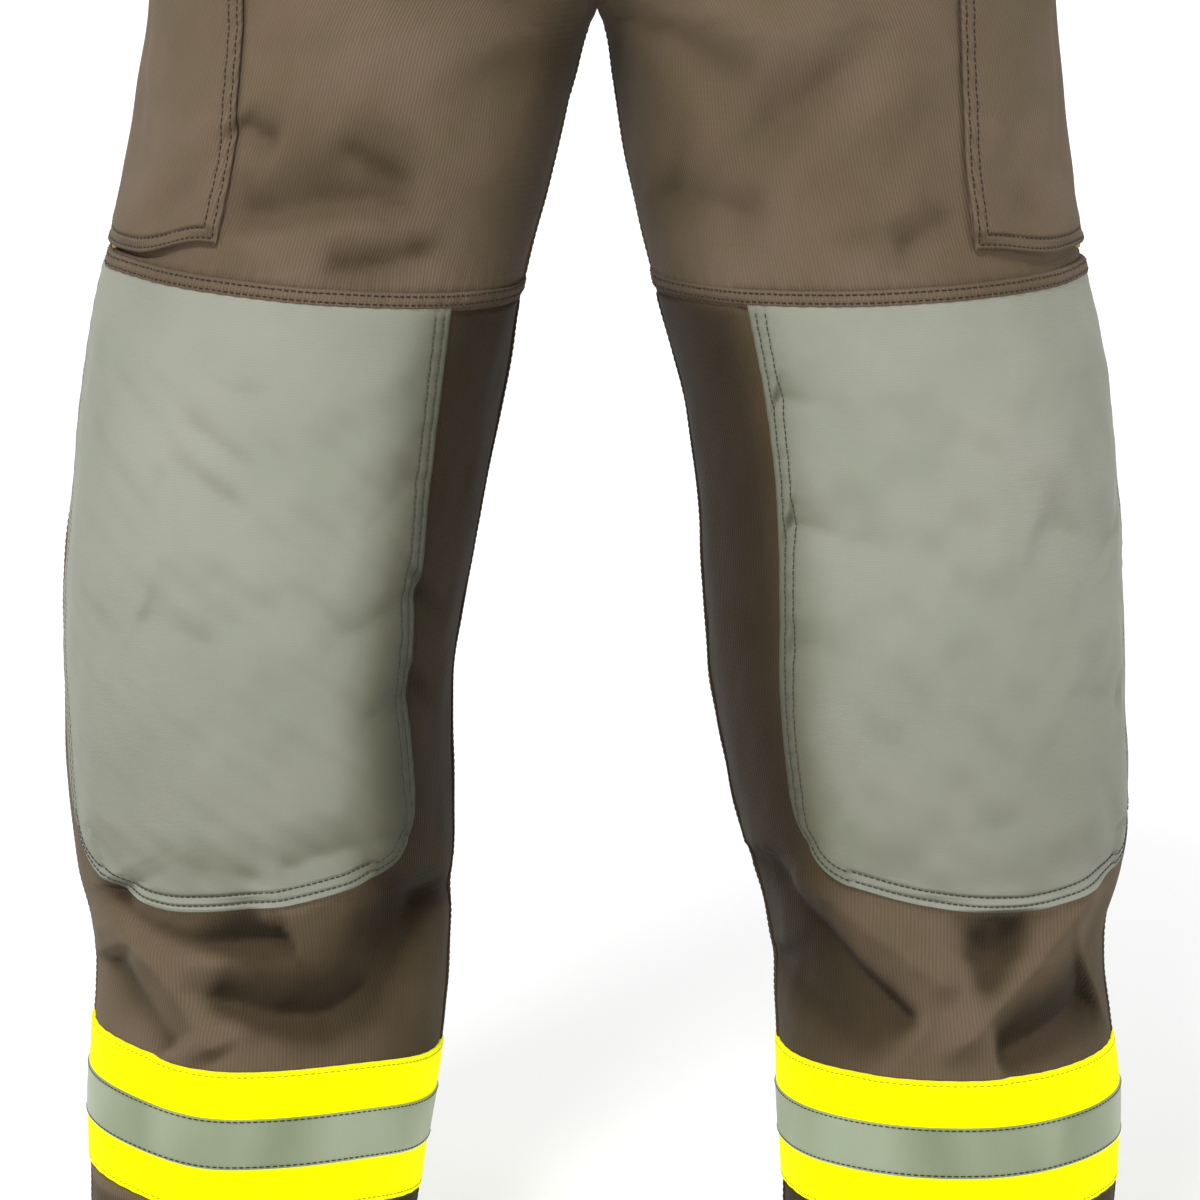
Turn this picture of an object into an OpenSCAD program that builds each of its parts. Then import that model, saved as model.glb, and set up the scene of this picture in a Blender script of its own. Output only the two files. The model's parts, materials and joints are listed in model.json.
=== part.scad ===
// Firefighter's bunker trousers, shaped as if worn, in millimetres.
// +X is the wearer's left, -Y the front, +Z up. Heights inside the modules are
// measured from the hem; the whole object is then lowered so that the origin is
// the centre of the waist opening, level with the front of the waistband.

/* [Length] */
// Height of the front of the waist above the hem
waist_height = 970; // [960:5:980]
// How much higher the waistband sits at the back
back_rise = 30; // [10:5:36]
// Height of the seam that joins the thigh to the lower leg
knee_seam_height = 541; // [530:1:550]
// Height of the lower edge of the knee reinforcement
patch_bottom_height = 243; // [235:1:250]

/* [Fabric layers] */
// Thickness of the outer shell
shell_thickness = 1.6; // [1.2:0.1:1.8]
// Thickness of the moisture barrier
barrier_thickness = 1.0; // [0.6:0.1:1.2]
// Thickness of the quilted thermal liner
liner_thickness = 3.2; // [2.5:0.1:3.6]
// Air between neighbouring layers
layer_gap = 0.6; // [0.4:0.1:0.8]

/* [Knee reinforcement] */
// Width of the patch along the cloth
patch_width = 229; // [200:1:235]
// Radius of the two bottom corners
patch_corner = 42; // [20:1:50]
// Thickness of the coated patch
patch_thickness = 1.6; // [1.2:0.1:2]
// Thickness of the foam pad under the patch
pad_thickness = 4.5; // [3:0.5:6]

/* [Reflective trim] */
// Width of the lime tape
trim_width = 76; // [50:1:76]
// Width of the silver stripe on it
stripe_width = 27; // [15:1:30]
// Height of the middle of the tape above the hem
trim_height = 115; // [110:1:125]
// Width of the binding round the hem
binding_width = 26; // [15:1:40]

/* [Bellows pocket] */
// Width along the cloth
pocket_width = 222; // [200:1:230]
// Height of the pocket bottom above the hem
pocket_bottom = 566; // [550:1:570]
// Height of the pocket mouth above the hem
pocket_mouth = 780; // [770:1:784]
// Fullness of the pocket in its middle
pocket_fullness = 13; // [9:0.5:15]
// Length of the flap
flap_length = 88; // [75:1:95]

/* [Fly] */
// Width of the fly flap
fly_width = 62; // [55:1:65]
// Height of the lower end of the fly
fly_bottom = 778; // [775:1:800]
// Spacing of the zip teeth on each side
tooth_pitch = 4; // [3:0.5:5]

/* [Waistband] */
// Width of the waistband
band_width = 42; // [38:1:44]
// Radius of a suspender button's cap
button_radius = 8.5; // [7:0.5:9]
// Width of the waist take-up straps
strap_width = 32; // [25:1:34]

/* [Hidden] */

LEFT = 0;
RIGHT = 1;

shell_colour = [0.42, 0.35, 0.28];
patch_colour = [0.62, 0.63, 0.57];
foam_colour = [0.85, 0.82, 0.7];
lime_colour = [0.85, 1, 0.05];
silver_colour = [0.6, 0.66, 0.55];
barrier_colour = [0.9, 0.9, 0.86];
liner_colour = [0.75, 0.62, 0.3];
black_colour = [0.12, 0.11, 0.1];
metal_colour = [0.7, 0.7, 0.7];
brass_colour = [0.75, 0.6, 0.3];

// The shape of the trousers: at each height, how far the outer and the inner edge of each
// leg are from the middle, and where the front and back of the legs are. Above the crotch
// the inner edge is past the middle, and each half is cut there.
// [height, right outer, right inner, left outer, left inner, front, back]
stations = [
    [0,    262,   95, 268,   96,  -70, 106],
    [120,  262,   79, 273,   91,  -76, 108],
    [200,  258,   74, 264,   87,  -84, 108],
    [250,  267,   74, 270,   77,  -97, 112],
    [330,  270,   74, 267,   60, -110, 114],
    [400,  268,   64, 264,   54, -116, 114],
    [470,  259,   51, 257,   47, -119, 118],
    [541,  245,   38, 243,   29, -122, 126],
    [610,  224,   21, 226,   14, -124, 133],
    [678,  212,    0, 217,    0, -129, 142],
    [705,  211,  -26, 216,  -26, -131, 146],
    [740,  211,  -70, 214,  -70, -134, 150],
    [785,  210, -130, 212, -130, -136, 152],
    [840,  205, -176, 205, -176, -136, 149],
    [900,  191, -189, 191, -189, -133, 140],
    [970,  176, -176, 176, -176, -130, 130],
    [1010, 171, -171, 171, -171, -128, 126]
];
crotch_height = 678;
top_height = waist_height + back_rise;

// ---------- the surface of the legs and seat ----------

function mix(a, b, t) = a + (b - a) * t;
function clamp(x, lo, hi) = max(lo, min(hi, x));

// Smooth curve through one column of the stations.
function slope(k, c) =
    let (lo = max(0, k - 1), hi = min(len(stations) - 1, k + 1))
    (stations[hi][c] - stations[lo][c]) / (stations[hi][0] - stations[lo][0]);
function profile(z, c, k = 0) =
    k < len(stations) - 2 && z > stations[k + 1][0] ? profile(z, c, k + 1) :
    let (
        h = stations[k + 1][0] - stations[k][0],
        t = (z - stations[k][0]) / h,
        t2 = t * t,
        t3 = t2 * t
    )
    (2 * t3 - 3 * t2 + 1) * stations[k][c] + (t3 - 2 * t2 + t) * h * slope(k, c)
        + (3 * t2 - 2 * t3) * stations[k + 1][c] + (t3 - t2) * h * slope(k + 1, c);

// The oval of one leg at a height: [centre x, half width, centre y, half depth].
function oval(s, z) =
    let (
        outer = profile(z, s == LEFT ? 3 : 1),
        inner = profile(z, s == LEFT ? 4 : 2),
        front = profile(z, 5),
        back = profile(z, 6)
    )
    [(outer + inner) / 2, (outer - inner) / 2, (front + back) / 2, (back - front) / 2];

// How far forward of the side the front half of the oval reaches before the middle plane.
function half_sweep(s, z) =
    z <= crotch_height ? 180 : let (o = oval(s, z)) 90 + asin(min(1, o[0] / o[1]));

// An angle round the leg is -90 at the inseam or the front middle seam, 90 at the
// side seam and 270 at the inseam or the back middle seam.
function turn(s, angle, z) = 90 + (angle - 90) * half_sweep(s, z) / 180;
function angle_of_turn(s, t, z) = 90 + (t - 90) * 180 / half_sweep(s, z);

angle_step = 15;
shin_rows = 6;
knee_rows = 6;
thigh_rows = 4;
seat_rows = 8;
function span(lo, hi, n) = [for (i = [0:n - 1]) mix(lo, hi, i / n)];
levels = concat(
    span(0, patch_bottom_height, shin_rows),
    span(patch_bottom_height, knee_seam_height, knee_rows),
    span(knee_seam_height, crotch_height, thigh_rows),
    span(crotch_height, top_height, seat_rows),
    [top_height]
);
columns = 360 / angle_step;

// Every grid point as [x, y, outward x, outward y], for each side, level and angle.
grid = [for (s = [LEFT, RIGHT]) [for (z = levels) let (o = oval(s, z), h = half_sweep(s, z))
    [for (j = [0:columns]) let (t = 90 + (j * angle_step - 180) * h / 180)
        [o[0] + o[1] * sin(t), o[2] - o[3] * cos(t), sin(t), -cos(t)]]]];

function level_below(z, k = 0) =
    k < len(levels) - 2 && z >= levels[k + 1] ? level_below(z, k + 1) : k;

// A point on the faceted surface, off millimetres outside it, never past the middle plane.
function skin_point(s, angle, z, off) =
    let (
        k = level_below(z),
        tz = (z - levels[k]) / (levels[k + 1] - levels[k]),
        j = clamp(floor((angle + 90) / angle_step), 0, columns - 1),
        ta = (angle + 90) / angle_step - j,
        g = grid[s],
        p = mix(mix(g[k][j], g[k][j + 1], ta), mix(g[k + 1][j], g[k + 1][j + 1], ta), tz)
    )
    [max(0, p[0] + off * p[2]), p[1] + off * p[3], z];

// The top edge of the waistband, which rises towards the back.
function waist_top(angle) = waist_height + back_rise * (1 - cos(clamp(angle, 0, 180))) / 2;

function angles(from, to, step = angle_step) =
    concat([from], [for (a = [ceil((from + 1) / step) * step:step:to - 1]) a], [to]);
function heights(from, to) =
    concat([from], [for (z = levels) if (z > from + 1 && z < to - 1) z], [to]);

function value(f, u, v) = is_function(f) ? f(u, v) : f;

// A closed sheet that follows the surface between two offsets, lo and hi. u runs round
// the leg and v up it; a(u, v) is the angle and z(u, v) the height. A ring joins its ends.
module sheet(s, us, vs, lo, hi, a = function(u, v) u, z = function(u, v) v, ring = false) {
    nu = len(us);
    nv = len(vs);
    cells = ring ? nu : nu - 1;
    points = concat(
        [for (v = vs) for (u = us) skin_point(s, a(u, v), z(u, v), value(hi, u, v))],
        [for (v = vs) for (u = us) skin_point(s, a(u, v), z(u, v), value(lo, u, v))]
    );
    function out(i, j) = i * nu + j % nu;
    function in(i, j) = nu * nv + i * nu + j % nu;
    function quad(p, q, r, t) = [[p, q, r], [p, r, t]];
    skins = [for (i = [0:nv - 2]) for (j = [0:cells - 1]) each concat(
        quad(out(i, j), out(i + 1, j), out(i + 1, j + 1), out(i, j + 1)),
        quad(in(i, j), in(i, j + 1), in(i + 1, j + 1), in(i + 1, j)))];
    hems = [for (j = [0:cells - 1]) each concat(
        quad(out(0, j), out(0, j + 1), in(0, j + 1), in(0, j)),
        quad(out(nv - 1, j + 1), out(nv - 1, j), in(nv - 1, j), in(nv - 1, j + 1)))];
    sides = ring ? [] : [for (i = [0:nv - 2]) each concat(
        quad(out(i + 1, 0), out(i, 0), in(i, 0), in(i + 1, 0)),
        quad(out(i, nu - 1), out(i + 1, nu - 1), in(i + 1, nu - 1), in(i, nu - 1)))];
    polyhedron(points, concat(skins, hems, sides), convexity = 6);
}

// The legs are drawn on the +X side; the right one is then mirrored.
module on_side(s) {
    mirror([s == RIGHT ? 1 : 0, 0, 0]) children();
}
module place() {
    translate([0, 0, -waist_height]) children();
}

FRONT = angles(-90, 90);
BACK = angles(90, 270);
ROUND = [for (a = [-90:angle_step:269]) a];
COARSE_ROUND = [for (a = [-90:2 * angle_step:269]) a];
LINING = angles(-89.5, 269.5);
seam_gap = 0.3;

// ---------- outer shell ----------

// Thigh and seat panels, from the knee seam to the waistband.
module thigh_panel(s, us) {
    top = function(u) waist_top(turn(s, u, waist_height)) - band_width - seam_gap;
    vs = heights(knee_seam_height + seam_gap, waist_height - band_width - 1);
    last = vs[len(vs) - 1];
    color(shell_colour) on_side(s)
        sheet(s, us, vs, -shell_thickness, 0, z = function(u, v) v == last ? top(u) : v);
}

module knee_shell(s) {
    color(shell_colour) on_side(s)
        sheet(s, ROUND, heights(patch_bottom_height + seam_gap, knee_seam_height),
              -shell_thickness, 0, ring = true);
}

module shin_panel(s, us) {
    color(shell_colour) on_side(s)
        sheet(s, us, heights(1, patch_bottom_height), -shell_thickness, 0);
}

// ---------- knee reinforcement ----------

leg_radius = 104;
patch_sweep = patch_width / leg_radius * 180 / PI;
// The patch sits towards the outside of each leg.
patch_start = [-39, -51];
function patch_u(s, u) = (u - patch_start[s]) / patch_sweep;
function patch_v(v) = (v - patch_bottom_height) / (knee_seam_height - patch_bottom_height);

// The bottom edge rises round the two corners.
function patch_edge(s, u) =
    let (d = min(patch_u(s, u), 1 - patch_u(s, u)) * patch_width, r = patch_corner)
    d >= r ? 0 : r - sqrt(r * r - (r - d) * (r - d));

// 0 at the sewn edge of the patch and 1 over the pad.
function pad_share(s, u, v) =
    clamp(9 * min(patch_u(s, u), 1 - patch_u(s, u)), 0, 1)
        * clamp(8 * min(patch_v(v), 1 - patch_v(v)), 0, 1);
edge_lift = 0.9;

function patch_angles(s) =
    angles(patch_start[s], patch_start[s] + patch_sweep);

module knee_patch(s) {
    lift = function(u, v) edge_lift + (pad_thickness + 0.8) * pad_share(s, u, v);
    low = patch_bottom_height + 1;
    color(patch_colour) on_side(s)
        sheet(s, patch_angles(s), heights(low, knee_seam_height - 0.5),
              lift, function(u, v) lift(u, v) + patch_thickness,
              z = function(u, v) v == low ? low + patch_edge(s, u) : v);
}

module knee_pad(s) {
    inset = 0.13;
    us = angles(patch_start[s] + inset * patch_sweep, patch_start[s] + (1 - inset) * patch_sweep);
    vs = heights(mix(patch_bottom_height, knee_seam_height, inset + 0.02),
                 mix(patch_bottom_height, knee_seam_height, 1 - inset - 0.04));
    color(foam_colour) on_side(s) sheet(s, us, vs, 0.5, pad_thickness + 0.5);
}

// ---------- reflective trim and hem ----------

// The right leg's tape is sewn a little higher on the outside.
trim_tilt = [0, 8];

module trim_ring(s, width, lo, hi, middle = trim_height) {
    rows = [for (i = [0:2]) middle - width / 2 + i * width / 2];
    on_side(s) sheet(s, ROUND, rows, lo, hi,
                     z = function(u, v) v + trim_tilt[s] * sin(u), ring = true);
}

module trim_tape(s) {
    color(lime_colour) trim_ring(s, trim_width, 0.7, 1.6);
}

module trim_stripe(s) {
    color(silver_colour) trim_ring(s, stripe_width, 1.9, 2.4);
}

module cuff_binding(s) {
    color(patch_colour) on_side(s)
        sheet(s, ROUND, [0, binding_width], 0.6, 2.6, ring = true);
}

// ---------- moisture barrier and thermal liner ----------

barrier_out = -shell_thickness - layer_gap;
barrier_in = barrier_out - barrier_thickness;
liner_out = barrier_in - layer_gap;
liner_in = liner_out - liner_thickness;
lining_hem = 14;

module lining_seat(out, in, top_gap) {
    vs = heights(knee_seam_height + seam_gap, waist_height - top_gap);
    last = vs[len(vs) - 1];
    for (s = [LEFT, RIGHT])
        on_side(s) sheet(s, LINING, vs, in, out,
            z = function(u, v) v == last ? waist_top(turn(s, u, waist_height)) - top_gap : v);
}

module lining_ring(s, from, to, out, in) {
    on_side(s) sheet(s, COARSE_ROUND, heights(from, to), in, out, ring = true);
}

module barrier_seat() {
    color(barrier_colour) lining_seat(barrier_out, barrier_in, band_width + 4);
}
module liner_seat() {
    color(liner_colour) lining_seat(liner_out, liner_in, 8);
}
module barrier_knee(s) {
    color(barrier_colour)
        lining_ring(s, patch_bottom_height + seam_gap, knee_seam_height, barrier_out, barrier_in);
}
module liner_knee(s) {
    color(liner_colour)
        lining_ring(s, patch_bottom_height + seam_gap, knee_seam_height, liner_out, liner_in);
}
module barrier_shin(s) {
    color(barrier_colour)
        lining_ring(s, lining_hem, patch_bottom_height, barrier_out, barrier_in);
}
module liner_shin(s) {
    color(liner_colour)
        lining_ring(s, lining_hem, patch_bottom_height, liner_out, liner_in);
}

// ---------- bellows pockets ----------

// u runs from 0 at the pocket's front edge to 1 at its back edge.
function pocket_angle(s, u, z) =
    let (o = oval(s, z), half = pocket_width / (o[1] + o[3]) * 180 / PI)
    angle_of_turn(s, 90 + (2 * u - 1) * half, z);
function pocket_v(z) = (z - pocket_bottom) / (pocket_mouth - pocket_bottom);
pocket_base = 1.6;
pocket_cloth = 1.6;
// Offset of the inside of the pocket's face from the leg.
function fullness(u, z) =
    pocket_base + 2.6 + (pocket_fullness - 4) * sqrt(sin(180 * clamp(u, 0, 1)))
        * sin(90 * clamp(3 * pocket_v(z), 0, 1));
function face_out(u, z) = fullness(u, z) + pocket_cloth;

pocket_us = [for (i = [0:10]) i / 10];
function steps(lo, hi, n) = [for (i = [0:n]) mix(lo, hi, i / n)];

module pocket_sheet(s, us, vs, lo, hi) {
    on_side(s) sheet(s, us, vs, lo, hi, a = function(u, v) pocket_angle(s, u, v));
}

module pocket_face(s) {
    color(shell_colour)
        pocket_sheet(s, pocket_us, steps(pocket_bottom, pocket_mouth, 7),
                     function(u, v) fullness(u, v), function(u, v) face_out(u, v));
}

// The gusset along the front, the bottom and the back of the pocket.
module pocket_bellows(s) {
    wall = 0.014;
    floor_height = 2.5;
    top = fullness(0, pocket_bottom) - 0.3;
    side_rows = steps(pocket_bottom + floor_height, pocket_mouth, 6);
    color(shell_colour) {
        pocket_sheet(s, pocket_us, [pocket_bottom, pocket_bottom + floor_height], pocket_base, top);
        for (edge = [[0.001, wall], [1 - wall, 0.999]])
            pocket_sheet(s, edge, side_rows, pocket_base, top);
    }
}

strip_height = 38;
strip_top = pocket_mouth - 12;
module pocket_loop_strips() {
    color(black_colour)
        for (s = [LEFT, RIGHT])
            pocket_sheet(s, steps(0.12, 0.88, 8), steps(strip_top - strip_height, strip_top, 2),
                         function(u, v) face_out(u, v) + 0.4, function(u, v) face_out(u, v) + 1.4);
}

flap_top = pocket_mouth + 36;
flap_bottom = flap_top - flap_length;
flap_thickness = 2.4;
// The flap comes off the leg at its top edge and lies over the pocket's face.
function flap_in(u, z) =
    let (t = clamp((flap_top - z) / 24, 0, 1))
    mix(pocket_base, face_out(u, min(z, pocket_mouth)) + 4, t * t * (3 - 2 * t));

module pocket_flap(s) {
    rows = concat([flap_bottom, flap_bottom + 28], steps(flap_top - 28, flap_top, 4));
    color(shell_colour)
        pocket_sheet(s, steps(-0.02, 1.02, 10), rows,
                     function(u, v) flap_in(u, v), function(u, v) flap_in(u, v) + flap_thickness);
}

module flap_hook_strip(s) {
    color(black_colour)
        pocket_sheet(s, steps(0.12, 0.88, 8), steps(strip_top - strip_height, strip_top - 4, 2),
                     function(u, v) flap_in(u, v) - 1.6, function(u, v) flap_in(u, v) - 0.6);
}

module flap_pull_tab(s) {
    color(black_colour)
        pocket_sheet(s, steps(0.44, 0.56, 2), steps(flap_bottom - 16, flap_bottom + 20, 2),
                     function(u, v) flap_in(u, v) + flap_thickness + 0.4,
                     function(u, v) flap_in(u, v) + flap_thickness + 2);
}

// Brass drain eyelets under the floor of each pocket.
module pocket_grommets() {
    eyelet_height = 1.6;
    color(brass_colour)
        for (s = [LEFT, RIGHT]) on_side(s)
            for (u = [0.35, 0.65]) {
                p = skin_point(s, pocket_angle(s, u, pocket_bottom), pocket_bottom, pocket_base + 2.8);
                translate([p[0], p[1], pocket_bottom - eyelet_height - 0.3])
                    difference() {
                        cylinder(h = eyelet_height, r = 2.5, $fn = 32);
                        translate([0, 0, -1])
                            cylinder(h = eyelet_height + 2, r = 1.2, $fn = 32);
                    }
            }
}

// ---------- waistband ----------

band_in = -3;
band_out = 1.5;
band_rows = [0, 0.5, 1];

module waistband(s, us) {
    color(shell_colour) on_side(s)
        sheet(s, us, band_rows, band_in, band_out,
              z = function(u, v) waist_top(turn(s, u, waist_height)) - band_width * (1 - v));
}
module back_waistband() {
    waistband(LEFT, BACK);
    waistband(RIGHT, BACK);
}

// A frame on the waistband at a turn round the waist: +Z points straight out of the cloth.
function waist_point(t, off) =
    let (z = waist_top(t) - band_width / 2, o = oval(LEFT, z))
    [o[0] + (o[1] + off) * sin(t), o[2] - (o[3] + off) * cos(t), z];
function waist_normal(t) =
    let (o = oval(LEFT, waist_height), n = [o[3] * sin(t), -o[1] * cos(t), 0]) n / norm(n);
module on_waist(t, off) {
    n = waist_normal(t);
    translate(waist_point(t, off))
        rotate([0, 90, atan2(n[1], n[0])]) children();
}

// Shanked metal buttons: two at the front and two at the back of each side.
button_turns = [19, 34, 146, 163];
shank_radius = 3;
shank_length = 5;
cap_thickness = 2.6;
module suspender_buttons() {
    color(metal_colour)
        for (s = [LEFT, RIGHT]) on_side(s)
            for (t = button_turns)
                on_waist(t, band_out - 2) {
                    cylinder(h = shank_length, r = shank_radius, $fn = 48);
                    translate([0, 0, shank_length])
                        cylinder(h = cap_thickness, r = button_radius, $fn = 64);
                }
}

// Webbing loop that stands up from the back of the waistband.
module hanging_loop() {
    loop_radius = 26;
    webbing = 8;
    thickness = 1.8;
    foot = 32;
    loop_height = top_height + 6;
    back = skin_point(LEFT, 268, loop_height - foot, band_out + 0.8);
    color(black_colour)
        translate([0, back[1] + thickness, loop_height])
            rotate([90, 0, 0])
                linear_extrude(thickness) {
                    difference() {
                        circle(r = loop_radius, $fn = 64);
                        circle(r = loop_radius - webbing, $fn = 64);
                        translate([-2 * loop_radius, -2 * loop_radius])
                            square([4 * loop_radius, 2 * loop_radius]);
                    }
                    for (x = [-loop_radius, loop_radius - webbing])
                        translate([x, -foot]) square([webbing, foot]);
                }
}

// ---------- waist take-up straps ----------

// Each strap runs on a circle about an upright axis inside the hip.
strap_centre_x = 72;
strap_radius = 114;
strap_thickness = 2;
strap_tilt = 7.5;
strap_z = waist_top(90) - band_width / 2;
strap_front = -52;
strap_back = 42;
module strap_frame(s) {
    on_side(s) translate([strap_centre_x, 0, strap_z]) rotate([strap_tilt, 0, 0]) children();
}

module waist_strap(s) {
    color(black_colour) strap_frame(s)
        rotate([0, 0, strap_front])
            rotate_extrude(angle = strap_back - strap_front, $fn = 180)
                translate([strap_radius, -strap_width / 2])
                    square([strap_thickness, strap_width]);
}

// Rectangular slide that the strap runs through.
module strap_buckle(s) {
    wire = 2.4;
    gap = 0.5;
    inner = [strap_thickness + 2 * gap, strap_width + 2 * gap];
    bar_width = 5;
    color(metal_colour) strap_frame(s)
        for (t = [-34, -22])
            rotate([0, 0, t])
                translate([strap_radius - gap, 0, 0])
                    difference() {
                        translate([-1.4, -bar_width / 2, -inner[1] / 2 - wire])
                            cube([inner[0] + 1.4 + wire, bar_width, inner[1] + 2 * wire]);
                        translate([0, -bar_width, -inner[1] / 2])
                            cube([inner[0], 2 * bar_width, inner[1]]);
                    }
}

// ---------- fly ----------

// The fly flap is a crowned strip, hinged on the wearer's left and closing to the right.
fly_hinge = [34, -138.5];
fly_top = waist_height - band_width - 3;
fly_edge = fly_hinge[0] - fly_width;
fly_crown = 13;
fly_cloth = 2.4;
function fly_bow(x) =
    let (t = (x - fly_edge) / fly_width) 1 - pow(abs(2 * t - 1), 2.6);
function fly_y(x) = fly_hinge[1] - 0.2 - fly_crown * fly_bow(x);
fly_xs = steps(fly_edge, fly_hinge[0], 12);

module fly_flap() {
    color(shell_colour)
        translate([0, 0, fly_bottom])
            linear_extrude(fly_top - fly_bottom)
                polygon(concat(
                    [for (x = fly_xs) [x, fly_y(x)]],
                    [for (i = [len(fly_xs) - 1:-1:0]) [fly_xs[i], fly_y(fly_xs[i]) - fly_cloth]]));
}

// Hook strip inside the flap's free edge, and nothing where the slider runs.
module fly_hook_strip() {
    xs = steps(fly_edge + 3, fly_edge + 17, 3);
    color(black_colour)
        translate([0, 0, fly_bottom + 8])
            linear_extrude(fly_top - fly_bottom - 16)
                polygon(concat(
                    [for (x = xs) [x, fly_y(x) + 1.1]],
                    [for (i = [len(xs) - 1:-1:0]) [xs[i], fly_y(xs[i]) + 0.3]]));
}

zip_y = -140.4;
zip_bottom = fly_bottom + 2;
zip_top = fly_top - 2;
tape_width = 12;
tape_thickness = 1;
row_gap = 0.8;
tooth = [2.4, 2.8, 2];

module zip_tapes() {
    color(black_colour)
        for (side = [-1, 1])
            translate([side * (row_gap + 1.3 + tape_width / 2), zip_y, (zip_bottom + zip_top) / 2])
                cube([tape_width, tape_thickness, zip_top - zip_bottom], center = true);
}

module zip_teeth() {
    count = floor((zip_top - zip_bottom - 12) / tooth_pitch);
    module row(side) {
        for (i = [0:count - 1])
            translate([side * (row_gap + tooth[0] / 2), zip_y,
                       zip_bottom + 5 + i * tooth_pitch + (side + 1) * tooth_pitch / 4])
                difference() {
                    cube(tooth, center = true);
                    // slot that grips the tape's edge
                    translate([side * 1, 0, 0])
                        cube([tooth[0] - 0.4, tape_thickness + 0.1, tooth[2] + 1], center = true);
                }
    }
    color(brass_colour) {
        row(-1);
        row(1);
    }
}

slider_height = 12;
slider_width = 9;
slider_z = zip_top - slider_height / 2 - 2;
lug_y = zip_y - 5.2;
pin_radius = 0.8;

module zip_slider() {
    plate = 1.7;
    clear = 0.4;
    front = tooth[1] / 2 + clear;
    color(brass_colour)
        difference() {
            union() {
                for (y = [zip_y - front - plate, zip_y + front])
                    translate([-slider_width / 2, y, slider_z - slider_height / 2])
                        cube([slider_width, plate, slider_height]);
                translate([-0.5, zip_y - front - 0.1, slider_z + 1])
                    cube([1, 2 * front + 0.2, slider_height / 2 - 1]);
                // lug that holds the pull
                translate([-1.5, lug_y - 1.6, slider_z - 1.8])
                    cube([3, 3.6, 5.4]);
            }
            translate([-3, lug_y, slider_z + 1.5])
                rotate([0, 90, 0]) cylinder(h = 6, r = pin_radius + 0.06, $fn = 32);
        }
}

module zip_pull() {
    pull_length = 30;
    pull_width = 8;
    color(brass_colour)
        translate([0, lug_y, slider_z + 1.5]) {
            translate([-3.2, 0, 0]) rotate([0, 90, 0]) cylinder(h = 6.4, r = pin_radius, $fn = 32);
            for (side = [-1, 1])
                translate([side * 2.7 - 0.8, -1, -6])
                    cube([1.6, 2, 7]);
            translate([-pull_width / 2, -1, -pull_length])
                cube([pull_width, 2, pull_length - 6]);
        }
}

// ---------- waist hook and dee ----------

closure_z = waist_height - band_width / 2;
dee_wire = 1.5;
dee_half = 12;
dee_x = 20;
dee_reach = 28;
dee_y = -136.9;

module dee_ring() {
    color(metal_colour)
        translate([dee_x, dee_y, closure_z]) {
            translate([0, 0, -dee_half]) cylinder(h = 2 * dee_half, r = dee_wire, $fn = 48);
            for (side = [-1, 1])
                translate([0, 0, side * dee_half])
                    rotate([0, -90, 0]) cylinder(h = dee_reach - dee_half, r = dee_wire, $fn = 48);
            for (side = [-1, 1])
                translate([0, 0, side * dee_half]) sphere(r = dee_wire, $fn = 48);
            translate([-(dee_reach - dee_half), 0, 0])
                rotate([90, 0, 0]) rotate([0, 0, 90])
                    rotate_extrude(angle = 180, $fn = 96)
                        translate([dee_half, 0]) circle(r = dee_wire, $fn = 48);
        }
}

plate_y = dee_y + dee_wire + 0.4;

// Webbing tab that the dee turns in.
module dee_tab() {
    tab_height = 20;
    tab_length = 18;
    color(black_colour)
        difference() {
            union() {
                translate([dee_x, dee_y, closure_z - tab_height / 2])
                    cylinder(h = tab_height, r = dee_wire + 1.5, $fn = 48);
                translate([dee_x, plate_y - 2, closure_z - tab_height / 2])
                    cube([tab_length, 2.2, tab_height]);
            }
            translate([dee_x, dee_y, closure_z - tab_height])
                cylinder(h = 2 * tab_height, r = dee_wire + 0.06, $fn = 48);
        }
}

// Plate with a raised tooth that the dee's far bar drops over.
module waist_hook() {
    plate = [32, 1.2, 18];
    hook = [2.4, 5.5, 6];
    far_bar = dee_x - dee_reach;
    color(metal_colour) {
        translate([far_bar - 26, plate_y, closure_z - plate[2] / 2]) cube(plate);
        translate([far_bar + dee_wire + 1, plate_y - hook[1] + 0.1, closure_z - hook[2] / 2])
            cube(hook);
    }
}

// ---------- assembly ----------

place() thigh_panel(LEFT, FRONT);  // left_thigh_front
place() thigh_panel(RIGHT, FRONT);  // right_thigh_front
place() thigh_panel(LEFT, BACK);  // left_thigh_back
place() thigh_panel(RIGHT, BACK);  // right_thigh_back
place() knee_shell(LEFT);  // left_knee_shell
place() knee_shell(RIGHT);  // right_knee_shell
place() shin_panel(LEFT, FRONT);  // left_shin_front
place() shin_panel(RIGHT, FRONT);  // right_shin_front
place() shin_panel(LEFT, BACK);  // left_shin_back
place() shin_panel(RIGHT, BACK);  // right_shin_back
place() knee_patch(LEFT);  // left_knee_patch
place() knee_patch(RIGHT);  // right_knee_patch
place() knee_pad(LEFT);  // left_knee_pad
place() knee_pad(RIGHT);  // right_knee_pad
place() trim_tape(LEFT);  // left_trim_tape
place() trim_tape(RIGHT);  // right_trim_tape
place() trim_stripe(LEFT);  // left_trim_stripe
place() trim_stripe(RIGHT);  // right_trim_stripe
place() cuff_binding(LEFT);  // left_cuff_binding
place() cuff_binding(RIGHT);  // right_cuff_binding
place() barrier_knee(LEFT);  // left_barrier_knee
place() barrier_knee(RIGHT);  // right_barrier_knee
place() barrier_shin(LEFT);  // left_barrier_shin
place() barrier_shin(RIGHT);  // right_barrier_shin
place() liner_knee(LEFT);  // left_liner_knee
place() liner_knee(RIGHT);  // right_liner_knee
place() liner_shin(LEFT);  // left_liner_shin
place() liner_shin(RIGHT);  // right_liner_shin
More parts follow.
